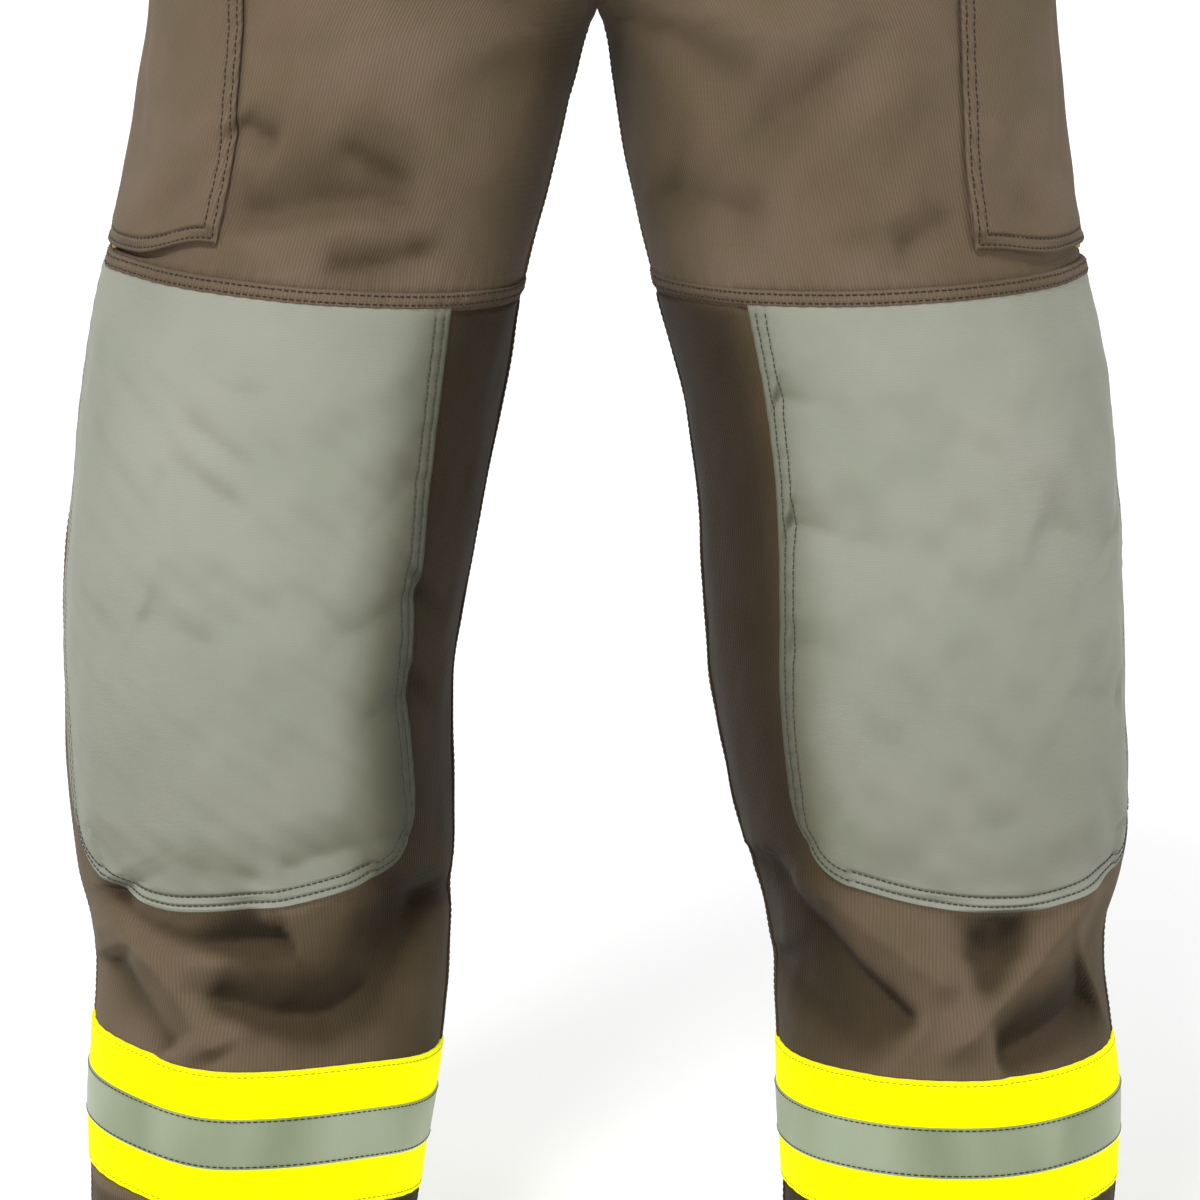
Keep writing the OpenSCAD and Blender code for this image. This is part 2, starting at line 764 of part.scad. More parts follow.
place() pocket_face(LEFT);  // left_pocket_face
place() pocket_face(RIGHT);  // right_pocket_face
place() pocket_bellows(LEFT);  // left_pocket_bellows
place() pocket_bellows(RIGHT);  // right_pocket_bellows
place() pocket_flap(LEFT);  // left_pocket_flap
place() pocket_flap(RIGHT);  // right_pocket_flap
place() flap_hook_strip(LEFT);  // left_flap_hook_strip
place() flap_hook_strip(RIGHT);  // right_flap_hook_strip
place() flap_pull_tab(LEFT);  // left_flap_pull_tab
place() flap_pull_tab(RIGHT);  // right_flap_pull_tab
place() waistband(LEFT, FRONT);  // left_front_waistband
place() waistband(RIGHT, FRONT);  // right_front_waistband
place() waist_strap(LEFT);  // left_waist_strap
place() waist_strap(RIGHT);  // right_waist_strap
place() strap_buckle(LEFT);  // left_strap_buckle
place() strap_buckle(RIGHT);  // right_strap_buckle
place() barrier_seat();
place() liner_seat();
place() pocket_loop_strips();
place() pocket_grommets();
place() back_waistband();
place() suspender_buttons();
place() hanging_loop();
place() fly_flap();
place() fly_hook_strip();
place() zip_tapes();
place() zip_teeth();
place() zip_slider();
place() zip_pull();
place() dee_ring();
place() dee_tab();
place() waist_hook();
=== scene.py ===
"""Looks of the bunker pants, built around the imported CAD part.

The garment is worked out in millimetres above the hem, on the same ovals as the CAD panels: the
ovals are read back from the CAD meshes, so every layer of cloth lies where the CAD says. Both
legs are drawn on the +X side, and the wearer's right one is mirrored.
"""

import json
import math

import bmesh
import bpy
import numpy as np
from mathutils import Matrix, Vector


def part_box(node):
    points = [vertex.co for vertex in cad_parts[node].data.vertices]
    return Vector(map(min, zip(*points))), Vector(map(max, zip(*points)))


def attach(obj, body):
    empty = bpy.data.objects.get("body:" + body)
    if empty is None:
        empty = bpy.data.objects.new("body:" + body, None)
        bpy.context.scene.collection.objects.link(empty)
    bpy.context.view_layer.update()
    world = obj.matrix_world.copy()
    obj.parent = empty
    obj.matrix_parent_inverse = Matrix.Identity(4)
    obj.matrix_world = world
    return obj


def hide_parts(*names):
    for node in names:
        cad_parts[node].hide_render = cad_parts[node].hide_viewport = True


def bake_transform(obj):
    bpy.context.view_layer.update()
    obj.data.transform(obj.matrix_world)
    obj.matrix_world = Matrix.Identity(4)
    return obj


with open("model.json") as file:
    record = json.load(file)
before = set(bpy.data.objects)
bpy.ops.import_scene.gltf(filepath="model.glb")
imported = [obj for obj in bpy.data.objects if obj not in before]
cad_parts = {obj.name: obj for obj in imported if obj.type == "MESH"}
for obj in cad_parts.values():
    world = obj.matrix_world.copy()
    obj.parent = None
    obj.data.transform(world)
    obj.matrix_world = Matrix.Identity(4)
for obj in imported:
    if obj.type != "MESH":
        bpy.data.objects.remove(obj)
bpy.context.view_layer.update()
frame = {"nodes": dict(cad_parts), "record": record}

MM = 0.001
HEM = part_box("left_cuff_binding")[0].z / MM
LEFT, RIGHT = "left", "right"
SIGN = {LEFT: 1, RIGHT: -1}
SIDES = (LEFT, RIGHT)
ROOT = "trousers"
# Rough radius of a leg, which turns an angle into a length for small waves.
LEG_RADIUS = 105
# Above this height the legs may touch or are joined.
SEAT = 640


# ---------- measures taken from the frame ----------

def cad_points(node, sign=1):
    """A CAD node's vertices in mm above the hem, turned to the +X side."""
    points = np.array([v.co for v in frame["nodes"][node].data.vertices], float) / MM
    points[:, 0] *= sign
    points[:, 2] -= HEM
    return points


def cad_range(node, axis):
    """Lowest and highest value of a CAD node along an axis, in mm above the hem for z."""
    low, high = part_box(node)
    drop = HEM if axis == 2 else 0
    return low[axis] / MM - drop, high[axis] / MM - drop


def box_mm(node):
    """Lowest and highest corner of a CAD node, in mm from the frame's origin."""
    low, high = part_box(node)
    return np.array(low) / MM, np.array(high) / MM


def fit_oval(points):
    """Centre and half width, centre and half depth of the outer of two close ovals."""
    shift = 100.0
    for _ in range(2):
        x, y = points[:, 0] - shift, points[:, 1] - shift
        terms = np.c_[x * x, x, y * y, y]
        k = np.linalg.lstsq(terms, np.ones(len(points)), rcond=None)[0]
        points = points[terms @ k * np.sign(k[0]) > np.sign(k[0])]
    cx, cy = -k[1] / (2 * k[0]), -k[3] / (2 * k[2])
    size = 1 + k[0] * cx * cx + k[2] * cy * cy
    return cx + shift, math.sqrt(size / k[0]), cy + shift, math.sqrt(size / k[2])


class Column:
    """A smooth curve through values at heights."""

    def __init__(self, samples):
        kept = []
        for z, value in sorted(samples):
            if not kept or z - kept[-1][0] > 5:
                kept.append((z, value))
        self.z, self.v = np.array(kept).T
        self.slope = np.gradient(self.v, self.z)

    def __call__(self, z):
        z = np.asarray(z, float)
        k = np.clip(np.searchsorted(self.z, z) - 1, 0, len(self.z) - 2)
        h = self.z[k + 1] - self.z[k]
        t = (z - self.z[k]) / h
        inside = np.clip(t, 0, 1)
        t2, t3 = inside**2, inside**3
        value = (
            (2 * t3 - 3 * t2 + 1) * self.v[k]
            + (t3 - 2 * t2 + inside) * h * self.slope[k]
            + (3 * t2 - 2 * t3) * self.v[k + 1]
            + (t3 - t2) * h * self.slope[k + 1]
        )
        end = np.where(t > 1, self.slope[k + 1], self.slope[k])
        return value + (t - inside) * h * end


def read_columns(side):
    """Outer, inner, front and back edges of one leg against height."""
    nodes = [f"{side}_{n}" for n in ("thigh_front", "thigh_back", "knee_shell", "shin_front", "shin_back")]
    points = np.concatenate([cad_points(n, SIGN[side]) for n in nodes])
    levels, count = np.unique(points[:, 2].round(1), return_counts=True)
    outer, inner, front, back = [], [], [], []
    for z in levels[count > 40]:
        cx, a, cy, b = fit_oval(points[np.abs(points[:, 2] - z) < 0.06])
        outer.append((z, cx + a))
        inner.append((z, cx - a))
        front.append((z, cy - b))
        back.append((z, cy + b))
    band = cad_points(f"{side}_front_waistband", SIGN[side])
    tail = cad_points("back_waistband", SIGN[side])

    def farthest(points, axis, sign):
        """The shell's outermost value under the band, along an axis, at each height."""
        found = []
        for z in np.unique(points[:, 2].round(0)):
            level = points[np.abs(points[:, 2] - z) < 1]
            found.append((z, sign * ((sign * level[:, axis]).max() - BAND_OUT)))
        return found

    at_side = farthest(band[band[:, 1] > band[:, 1].max() - 2], 0, 1)
    outer += at_side
    inner += [(z, -value) for z, value in at_side]
    front += farthest(band[np.abs(band[:, 0]) < 1], 1, -1)
    back += farthest(tail[np.abs(tail[:, 0]) < 1], 1, 1)
    return [Column(c) for c in (outer, inner, front, back)]


# How far the waistband stands off the ovals.
BAND_OUT = 1.5
COLUMNS = {side: read_columns(side) for side in SIDES}
KNEE_SEAM = cad_range("left_knee_shell", 2)[1]
PATCH_BOTTOM = cad_range("left_knee_shell", 2)[0]
WAIST_FRONT = -HEM
WAIST_BACK = cad_range("back_waistband", 2)[1]
BAND_WIDTH = WAIST_FRONT - cad_range("left_front_waistband", 2)[0]


def smooth(low, high, x):
    """0 at low, 1 at high and an S between them."""
    t = np.clip((np.asarray(x, float) - low) / (high - low), 0, 1)
    return t * t * (3 - 2 * t)


def bell(x, at, width):
    """1 at a place, fading to 0 on both sides of it."""
    return np.exp(-(((x - at) / width) ** 2))


def waist_top(t):
    """Height of the top of the waistband at an angle round the waist from the front."""
    t = np.radians(np.clip(t, 0, 180))
    return WAIST_FRONT + (WAIST_BACK - WAIST_FRONT) * (1 - np.cos(t)) / 2


def oval(side, z):
    """Centre and half width, centre and half depth of a leg's outside at a height."""
    outer, inner, front, back = [c(z) for c in COLUMNS[side]]
    return (outer + inner) / 2, (outer - inner) / 2, (front + back) / 2, (back - front) / 2


def half_sweep(side, z):
    """Degrees from a leg's outside to where its oval meets the middle of the body."""
    cx, a, _, _ = oval(side, z)
    return 90 + np.degrees(np.arcsin(np.clip(cx / a, -1, 1)))


def real_angle(side, angle, z):
    """Nominal angles run from -90 at the inseam or front middle seam to 270; this is the oval's own angle."""
    return 90 + (np.asarray(angle, float) - 90) * half_sweep(side, z) / 180


def seam_angle(side, t, z):
    """The opposite of real_angle."""
    return 90 + (np.asarray(t, float) - 90) * 180 / half_sweep(side, z)


# ---------- folds ----------

def route(points, count=24):
    """A smooth line through a few points."""
    p = np.array(points, float)
    p = np.concatenate([[2 * p[0] - p[1]], p, [2 * p[-1] - p[-2]]])
    line = []
    for k in range(1, len(p) - 2):
        t = np.linspace(0, 1, count // (len(p) - 3) + 1)[:, None]
        line.append(0.5 * (
            2 * p[k] + (p[k + 1] - p[k - 1]) * t
            + (2 * p[k - 1] - 5 * p[k] + 4 * p[k + 1] - p[k + 2]) * t**2
            + (3 * p[k] - p[k - 1] - 3 * p[k + 1] + p[k + 2]) * t**3
        )[:-1])
    return np.concatenate([*line, [p[-2]]])


def fold(x, z, points, height, up, down, soft=3.0, fade=(0.25, 0.25)):
    """A ridge (height above 0) or a valley along points, left to right. up and down are how far
    it spreads above and below its line, and soft is how rounded its crest is."""
    line = route(points)
    if line[0][0] > line[-1][0]:
        line, fade = line[::-1], fade[::-1]
    best = np.full(x.shape, 1e9)
    signed = np.zeros(x.shape)
    share = np.zeros(x.shape)
    count = len(line) - 1
    for k in range(count):
        d = line[k + 1] - line[k]
        t = np.clip(((x - line[k][0]) * d[0] + (z - line[k][1]) * d[1]) / (d @ d), 0, 1)
        rx, rz = x - line[k][0] - t * d[0], z - line[k][1] - t * d[1]
        near = np.hypot(rx, rz)
        closer = near < best
        best = np.where(closer, near, best)
        signed = np.where(closer, np.sign(d[0] * rz - d[1] * rx), signed)
        share = np.where(closer, (k + t) / count, share)
    spread = np.where(signed > 0, up, down)
    crest = np.exp(-(np.sqrt(best**2 + soft**2) - soft) / spread)
    ends = smooth(0, max(fade[0], 1e-3), share) * smooth(1, 1 - max(fade[1], 1e-3), share)
    return height * crest * ends


# Each fold: points (across from the middle of the body outwards, above the hem), height,
# spread above, spread below, roundness, and how much of each end fades out. The CAD has no
# folds: these were placed against the photo, in mm.
FRONT_FOLDS = {
    RIGHT: [
        # shin, under the patch
        ([(246, 250), (232, 232), (204, 221), (163, 223), (150, 226)], -8.0, 15, 6, 2.5, (0.1, 0.12)),
        ([(240, 216), (204, 213), (165, 214)], 3.5, 7, 10, 3, (0.3, 0.3)),
        ([(212, 197), (170, 184), (133, 180), (110, 194), (93, 221), (76, 246)],
         -11.0, 23, 8, 3, (0.12, 0.1)),
        ([(172, 238), (142, 243), (112, 260)], 4.0, 12, 12, 4, (0.2, 0.2)),
        ([(118, 184), (95, 206), (74, 232)], 4.5, 9, 13, 4, (0.3, 0.2)),
        ([(248, 238), (216, 202), (188, 160)], 6.0, 17, 12, 2.5, (0.15, 0.1)),
        ([(250, 205), (228, 180), (214, 160)], -6.0, 14, 8, 4, (0.1, 0.1)),
        # thigh
        ([(186, 576), (155, 580), (130, 588), (101, 590), (78, 584)], -6.5, 17, 7, 3, (0.15, 0.3)),
        ([(184, 565), (151, 574), (115, 582), (92, 582)], 3.0, 6, 10, 3, (0.2, 0.3)),
        ([(140, 556), (101, 561), (70, 574)], -5.0, 13, 6, 3, (0.2, 0.3)),
        ([(174, 626), (162, 618), (150, 614)], -3.5, 9, 6, 3, (0.2, 0.3)),
        ([(136, 668), (101, 637), (64, 611), (44, 590)], 3.0, 22, 18, 6, (0.3, 0.3)),
        ([(130, 622), (105, 608), (80, 598)], -2.5, 12, 8, 4, (0.3, 0.3)),
    ],
    LEFT: [
        ([(80, 256), (92, 243), (117, 216), (146, 188), (164, 174)], -7.5, 6, 17, 2, (0.05, 0.15)),
        ([(95, 256), (125, 238), (158, 214), (188, 192)], 5.5, 13, 13, 4, (0.1, 0.2)),
        ([(180, 244), (188, 222), (197, 199), (207, 222), (216, 244)], -6.5, 10, 8, 4, (0.3, 0.3)),
        ([(196, 208), (198, 244)], -4.0, 13, 13, 5, (0.2, 0.3)),
        ([(170, 156), (190, 178), (209, 197), (228, 220), (252, 254)], 5.5, 12, 8, 2.5, (0.2, 0.1)),
        ([(198, 158), (228, 168), (258, 180)], -9.0, 19, 8, 3, (0.15, 0.05)),
        ([(84, 200), (120, 176), (150, 160)], -4.0, 20, 10, 5, (0.1, 0.3)),
        # thigh
        ([(56, 604), (88, 630), (108, 648), (150, 690)], -5.5, 17, 22, 8, (0.3, 0.35)),
        ([(76, 590), (108, 620), (136, 644), (170, 684)], 4.0, 14, 20, 7, (0.3, 0.3)),
        ([(24, 596), (56, 588), (92, 580)], -3.5, 16, 10, 5, (0.2, 0.3)),
        ([(106, 580), (130, 584), (158, 590)], 2.5, 9, 9, 4, (0.3, 0.3)),
        ([(140, 564), (156, 572), (174, 588)], -3.5, 12, 7, 4, (0.2, 0.3)),
    ],
}
# Folds of the patches, placed the same way.
PATCH_FOLDS = {
    RIGHT: [
        ([(194, 510), (176, 499), (157, 491)], -1.6, 5, 4, 2.5, (0.3, 0.3)),
        ([(200, 484), (180, 472), (160, 462)], -1.8, 5, 5, 2.5, (0.3, 0.3)),
        ([(208, 468), (186, 454), (163, 442)], -2.4, 6, 7, 3, (0.3, 0.3)),
        ([(186, 436), (170, 420), (150, 404)], 1.6, 7, 7, 3, (0.3, 0.3)),
        ([(222, 392), (196, 382), (176, 372)], -3.0, 14, 7, 4, (0.1, 0.4)),
        ([(120, 430), (104, 442), (84, 466)], -1.8, 10, 8, 4, (0.3, 0.2)),
        ([(139, 374), (112, 386), (84, 400)], -4.0, 15, 8, 4, (0.25, 0.05)),
        ([(128, 326), (108, 340), (86, 350)], -3.0, 14, 8, 4, (0.3, 0.05)),
        ([(160, 262), (140, 268), (110, 276)], -2.6, 12, 6, 4, (0.2, 0.3)),
        ([(205, 268), (180, 262), (158, 256)], -1.6, 8, 6, 3, (0.3, 0.3)),
    ],
    LEFT: [
        ([(86, 498), (105, 494), (126, 488)], -2.4, 7, 6, 3, (0.05, 0.5)),
        ([(92, 436), (120, 430), (152, 424)], -3.4, 11, 7, 4, (0.05, 0.4)),
        ([(94, 376), (120, 372), (150, 362)], -1.8, 10, 8, 4, (0.05, 0.5)),
        ([(206, 436), (225, 430), (250, 416)], -3.6, 15, 9, 4, (0.3, 0.05)),
        ([(224, 352), (240, 344), (258, 340)], -3.0, 14, 9, 4, (0.4, 0.05)),
        ([(180, 470), (190, 440), (198, 400)], 1.4, 12, 12, 6, (0.3, 0.3)),
        ([(150, 296), (185, 284), (225, 292)], -1.8, 12, 7, 5, (0.4, 0.4)),
    ],
}
# How much stronger the front folds are on the thighs.
THIGH_GAIN = 0.2
# Behind the knee, on the shin's back and on the seat: out of the photo, so invented.
BACK_FOLDS = [
    ([(60, 430), (110, 412), (170, 424)], -8.0, 14, 12, 5, (0.15, 0.3)),
    ([(110, 392), (170, 378), (255, 400)], -9.0, 14, 12, 5, (0.3, 0.1)),
    ([(70, 372), (120, 352), (185, 348)], -7.0, 12, 12, 5, (0.15, 0.3)),
    ([(90, 402), (140, 396), (200, 410)], 4.0, 9, 9, 3, (0.3, 0.3)),
    ([(150, 330), (205, 322), (255, 338)], -5.0, 12, 12, 5, (0.3, 0.1)),
    ([(90, 250), (140, 226), (200, 238), (250, 262)], -6.0, 16, 13, 5, (0.2, 0.2)),
    ([(95, 205), (150, 196), (215, 208)], 4.5, 11, 12, 3, (0.3, 0.3)),
    ([(10, 655), (60, 640), (120, 662)], -5.0, 14, 12, 5, (0.1, 0.4)),
    ([(14, 690), (50, 668), (100, 690), (150, 735)], 4.0, 12, 12, 4, (0.1, 0.4)),
    ([(40, 560), (90, 585), (140, 600)], -3.5, 14, 14, 6, (0.3, 0.4)),
    ([(20, 760), (60, 735), (120, 760)], -3.0, 18, 16, 8, (0.3, 0.4)),
]


def noise(seed, shape_u, shape_v, u, v):
    """Smooth noise from a seeded sum of waves; u and v are in mm, the shapes are wavelengths."""
    rng = np.random.default_rng(seed)
    total = np.zeros(np.broadcast(u, v).shape)
    for _ in range(9):
        fu, fv = rng.normal(0, 1, 2)
        total += np.sin(2 * np.pi * (u * fu / shape_u + v * fv / shape_v) + rng.uniform(0, 6.28))
    return total / 4.5


CROTCH = 690
# How much slimmer the shins hang: inside, inside near the hem, outside.
SLIM = {LEFT: (3.5, 0.5, 4.0), RIGHT: (3.5, 5.0, 0.0)}


def drape(side, angle, z):
    """How far the cloth's folds lift it off the CAD ovals, in mm."""
    t = np.radians(real_angle(side, angle, z))
    cx, a, _, _ = oval(side, z)
    x = cx + a * np.sin(t)
    front = smooth(-0.15, 0.3, np.cos(t))
    back = smooth(-0.15, 0.3, -np.cos(t))
    total = np.zeros(x.shape)
    for f in FRONT_FOLDS[side]:
        total += (1 + THIGH_GAIN * smooth(450, 540, z)) * front * fold(x, z, *f)
    for f in PATCH_FOLDS[side]:
        total += front * fold(x, z, *f)
    for f in BACK_FOLDS:
        total += back * fold(x, z, *f)
    seed = 3 if side == LEFT else 11
    around = t * LEG_RADIUS
    # the cloth lies calmer under the trim and the waistband
    calm = 1 - smooth(70, 88, z) * (1 - smooth(156, 172, z)) * 0.8
    calm = calm * (1 - 0.7 * smooth(900, 940, z))
    total += calm * 0.9 * noise(seed, 120, 150, around, z)
    total += calm * 0.35 * noise(seed + 1, 42, 60, around, z)
    hem_wave = 2.2 * np.exp(-np.maximum(z, 0) / 60) * np.sin(3 * t + seed)
    middle = np.where(z > SEAT, smooth(0, 26, x), smooth(-4, 20, x))
    # creases that run out from the crotch
    reach = np.hypot(x, z - CROTCH)
    spread = np.arctan2(z - CROTCH, x)
    creases = 1.6 * np.sin(9 * spread + seed) * bell(reach, 60, 45)
    turn = np.asarray(angle)
    inside = bell(turn - 360 * (turn > 180), -90, 60)
    outside = bell(turn, 90, 60)
    shins, cuffs = smooth(265, 215, z), smooth(180, 70, z)
    at_inside, at_cuff, at_outside = SLIM[side]
    slim = at_inside * inside * shins + at_cuff * inside * cuffs + at_outside * outside * shins
    return (total + hem_wave + creases * smooth(560, 620, z)) * middle - slim


# How much higher the knee seam sits: in front, and towards the outside.
SEAM_RISE = {LEFT: (4.0, 4.0), RIGHT: (5.0, 9.0)}


def hitch(side, angle, z):
    """How much the cloth round the knee seam is hitched up. It ends below the pocket."""
    front, outside = SEAM_RISE[side]
    pocket = smooth(549, 566, z) * smooth(0.5, 0.85, np.sin(np.radians(angle)))
    near = smooth(420, 505, z) * (1 - smooth(600, 700, z)) * (1 - pocket)
    return (front * np.abs(np.cos(np.radians(angle) / 2)) + outside * np.sin(np.radians(angle))) * near


def place(side, angle, z, lift):
    """Points on the garment, lift mm outside the oval, in mm above the hem on the +X side."""
    t = np.radians(real_angle(side, angle, z))
    cx, a, cy, b = oval(side, z)
    x = cx + a * np.sin(t)
    # the two halves of the seat meet at the middle, whatever the layer
    off_middle = np.where(z > SEAT, smooth(0, 12, x), 1.0)
    x = x + lift * np.sin(t) * off_middle
    y = cy - (b + lift) * np.cos(t)
    return np.stack([np.maximum(x, 0.0), y, z + hitch(side, angle, z) + 0 * x], -1)


def to_frame(side, points):
    """From mm above the hem on the +X side to the frame's metres."""
    out = np.array(points, float)
    out[..., 0] *= SIGN[side]
    out[..., 2] += HEM
    return out * MM


# ---------- mesh making ----------

def new_mesh(name, points, faces, uvs=None, materials=(), shade=None, flip=False):
    """uvs holds one (u, v) per point, in metres."""
    mesh = bpy.data.meshes.new(name)
    if flip:
        faces = [f[::-1] for f in faces]
    mesh.from_pydata(np.asarray(points).reshape(-1, 3).tolist(), [], faces)
    if uvs is not None:
        layer = mesh.uv_layers.new(name="cloth")
        index = np.zeros(len(mesh.loops), np.int32)
        mesh.loops.foreach_get("vertex_index", index)
        layer.data.foreach_set("uv", np.asarray(uvs, np.float32).reshape(-1, 2)[index].ravel())
    # each point's painted shade, 1 where none is painted
    painted_shade = np.ones(len(mesh.vertices)) if shade is None else np.asarray(shade)
    data = mesh.attributes.new("shade", "FLOAT", "POINT")
    data.data.foreach_set("value", painted_shade.astype(np.float32).ravel())
    mesh.polygons.foreach_set("use_smooth", [True] * len(mesh.polygons))
    for m in materials:
        mesh.materials.append(m)
    obj = bpy.data.objects.new(name, mesh)
    bpy.context.scene.collection.objects.link(obj)
    return obj


def grid_faces(rows, cols, ring, start=0, turned=False):
    """Four-sided faces between a grid's rows, closed into a tube if it is a ring."""
    n = cols if ring else cols - 1
    i, j = np.meshgrid(np.arange(rows - 1), np.arange(n), indexing="ij")
    k = (j + 1) % cols
    quads = np.stack([i * cols + j, i * cols + k, (i + 1) * cols + k, (i + 1) * cols + j], -1)
    if turned:
        quads = quads[..., ::-1]
    return (quads.reshape(-1, 4) + start).tolist()


def rim_faces(loop_out, loop_in):
    """Faces between two lines of points."""
    a, b = np.array(loop_out), np.array(loop_in)
    return np.stack([a[:-1], b[:-1], b[1:], a[1:]], -1).tolist()


def shading(a, z, top):
    """How much the cloth's colour is darkened, from 0 (most) to 1 (not at all). Painted shade under
    the folds where the cloth faces down, in the valleys, inside the legs and at the hem below the
    trim; also darker towards the bottom of the knees. Tuned against the photo's colours, shadows included."""
    # painted shade where the cloth faces down, as if lit from above, more in the folds' hollows
    slope = np.gradient(top, axis=0) / (np.gradient(z, axis=0) + 1e-6)
    under = np.clip(slope, 0, 0.5)
    low = 1 - smooth(235, 262, z)
    folds = 1 - (1.15 + 0.5 * low) * under * (0.55 + 0.45 * smooth(0.5, -4, top - top.mean()))
    # painted shade in the valleys, deeper on the shins
    valley = 1 - (0.2 + 0.4 * low) * smooth(0, -7, top)
    turned = np.abs(a - 90)
    # painted shade on the insides of the legs, below the knee seam and, weaker, above it
    legs = smooth(112, 140, turned) * (1 - smooth(535, 552, z)) * (0.25 + 0.5 * smooth(150, 290, z))
    inner = 0.25 * smooth(125, 165, turned) * smooth(540, 560, z)
    # painted shade at the hem, below the trim
    hem = 0.45 * (1 - smooth(74, 80, z))
    # darker towards the bottom of the knees
    knees = 0.15 * smooth(430, 270, z) * smooth(238, 258, z)
    return np.clip(folds * valley * (1 - legs) * (1 - inner) * (1 - hem) * (1 - knees), 0.12, 1)


def sheet_mesh(name, side, outer, inner, uv, materials, ring=False, shade=None):
    """A closed sheet between two grids of points, rows by columns, in mm."""
    rows, cols = outer.shape[:2]
    size = rows * cols
    points = to_frame(side, np.concatenate([outer.reshape(-1, 3), inner.reshape(-1, 3)]))
    faces = grid_faces(rows, cols, ring) + grid_faces(rows, cols, ring, size, turned=True)
    bottom = list(range(cols)) + ([0] if ring else [])
    top = [(rows - 1) * cols + j for j in bottom]
    faces += rim_faces(bottom, [k + size for k in bottom])
    faces += rim_faces([k + size for k in top], top)
    if not ring:
        first = [i * cols for i in range(rows)]
        last = [i * cols + cols - 1 for i in range(rows)]
        faces += rim_faces([k + size for k in first], first)
        faces += rim_faces(last, [k + size for k in last])
    uvs = np.concatenate([uv.reshape(-1, 2), uv.reshape(-1, 2)]) * MM
    both = None if shade is None else np.concatenate([shade.ravel(), shade.ravel()])
    return new_mesh(name, points, faces, uvs, materials, both, flip=side == RIGHT)


def cloth(name, side, us, vs, lift, thick, material, angle=None, height=None, ring=False):
    """A sheet that follows the draped garment. lift(A, Z, U, V) is its outer face above the
    shell's outer face, in mm."""
    u, v = np.meshgrid(np.asarray(us, float), np.asarray(vs, float))
    z = v if height is None else height(u, v)
    a = u if angle is None else angle(u, z)
    rise = drape(side, a, z)
    top = rise + (lift(a, z, u, v) if callable(lift) else lift)
    depth = thick(a, z, u, v) if callable(thick) else thick
    outer, inner = place(side, a, z, top), place(side, a, z, top - depth)
    _, wide, _, deep = oval(side, z)
    uv = np.stack([np.radians(real_angle(side, a, z)) * (wide + deep) / 2, z], -1)
    return sheet_mesh(name, side, outer, inner, uv, [material], ring, shading(a, z, top))


def spaced(low, high, step, extra=(), fine=0.6, reach=2.4):
    """Steps from low to high, with finer ones round the places in extra."""
    values = list(np.linspace(low, high, max(2, int(round((high - low) / step)) + 1)))
    for e in extra:
        values = [x for x in values if abs(x - e) > reach * 0.8 or x in (low, high)]
        values += [e + k * fine for k in np.arange(-reach / fine, reach / fine + 0.1)]
    return np.array(sorted({round(x, 3) for x in values if low - 1e-6 <= x <= high + 1e-6}))


def lengths(line):
    """How far along a line each of its points is."""
    return np.concatenate([[0], np.cumsum(np.linalg.norm(np.diff(line, axis=0), axis=1))])


def sample(line, run, at):
    """Points of a line at lengths along it."""
    return np.stack([np.interp(at, run, line[:, k]) for k in range(3)], -1)


def stitches(name, side, angles, heights, lift, material, pitch=3.4, length=2.5, thick=0.42):
    """A row of stitches along a line on the garment, each one a small rounded bar."""
    a, z = np.asarray(angles, float), np.asarray(heights, float)
    top = drape(side, a, z) + lift
    line = place(side, a, z, top)
    above = place(side, a, z, top + 1)
    run = lengths(line)
    count = max(1, int(run[-1] / pitch))
    at = (np.arange(count) + 0.5) * run[-1] / count
    centre = sample(line, run, at)
    ahead = sample(line, run, at + 0.5) - sample(line, run, at - 0.5)
    ahead /= np.linalg.norm(ahead, axis=1)[:, None] + 1e-9
    out = sample(above, run, at) - centre
    out /= np.linalg.norm(out, axis=1)[:, None]
    return bars(name, centre, ahead, out, length, thick, material, side)


STITCH_RINGS = ((-0.5, 0.45), (-0.28, 1.0), (0.28, 1.0), (0.5, 0.45))


def bars(name, centre, ahead, out, length, thick, material, side=None):
    """Small rounded bars along ahead, on a face that looks along out. Without a side, the
    centres are in mm from the frame's origin."""
    across = np.cross(ahead, out)
    turns = [k * math.pi / 3 for k in range(6)]
    points = [centre + ahead * s * length + (across * math.cos(t) + out * math.sin(t)) * r * thick
              for s, r in STITCH_RINGS for t in turns]
    one = grid_faces(4, 6, True) + [list(range(5, -1, -1)), list(range(18, 24))]
    faces = [[v + n * 24 for v in f] for n in range(len(centre)) for f in one]
    points = np.stack(points, 1)
    points = points * MM if side is None else to_frame(side, points)
    return new_mesh(name, points, faces, None, [material], flip=side != RIGHT)


def read(items, prop, width, kind=np.float32):
    """One property of many vertices, loops or polygons as an array."""
    values = np.zeros(len(items) * width, kind)
    items.foreach_get(prop, values)
    return values


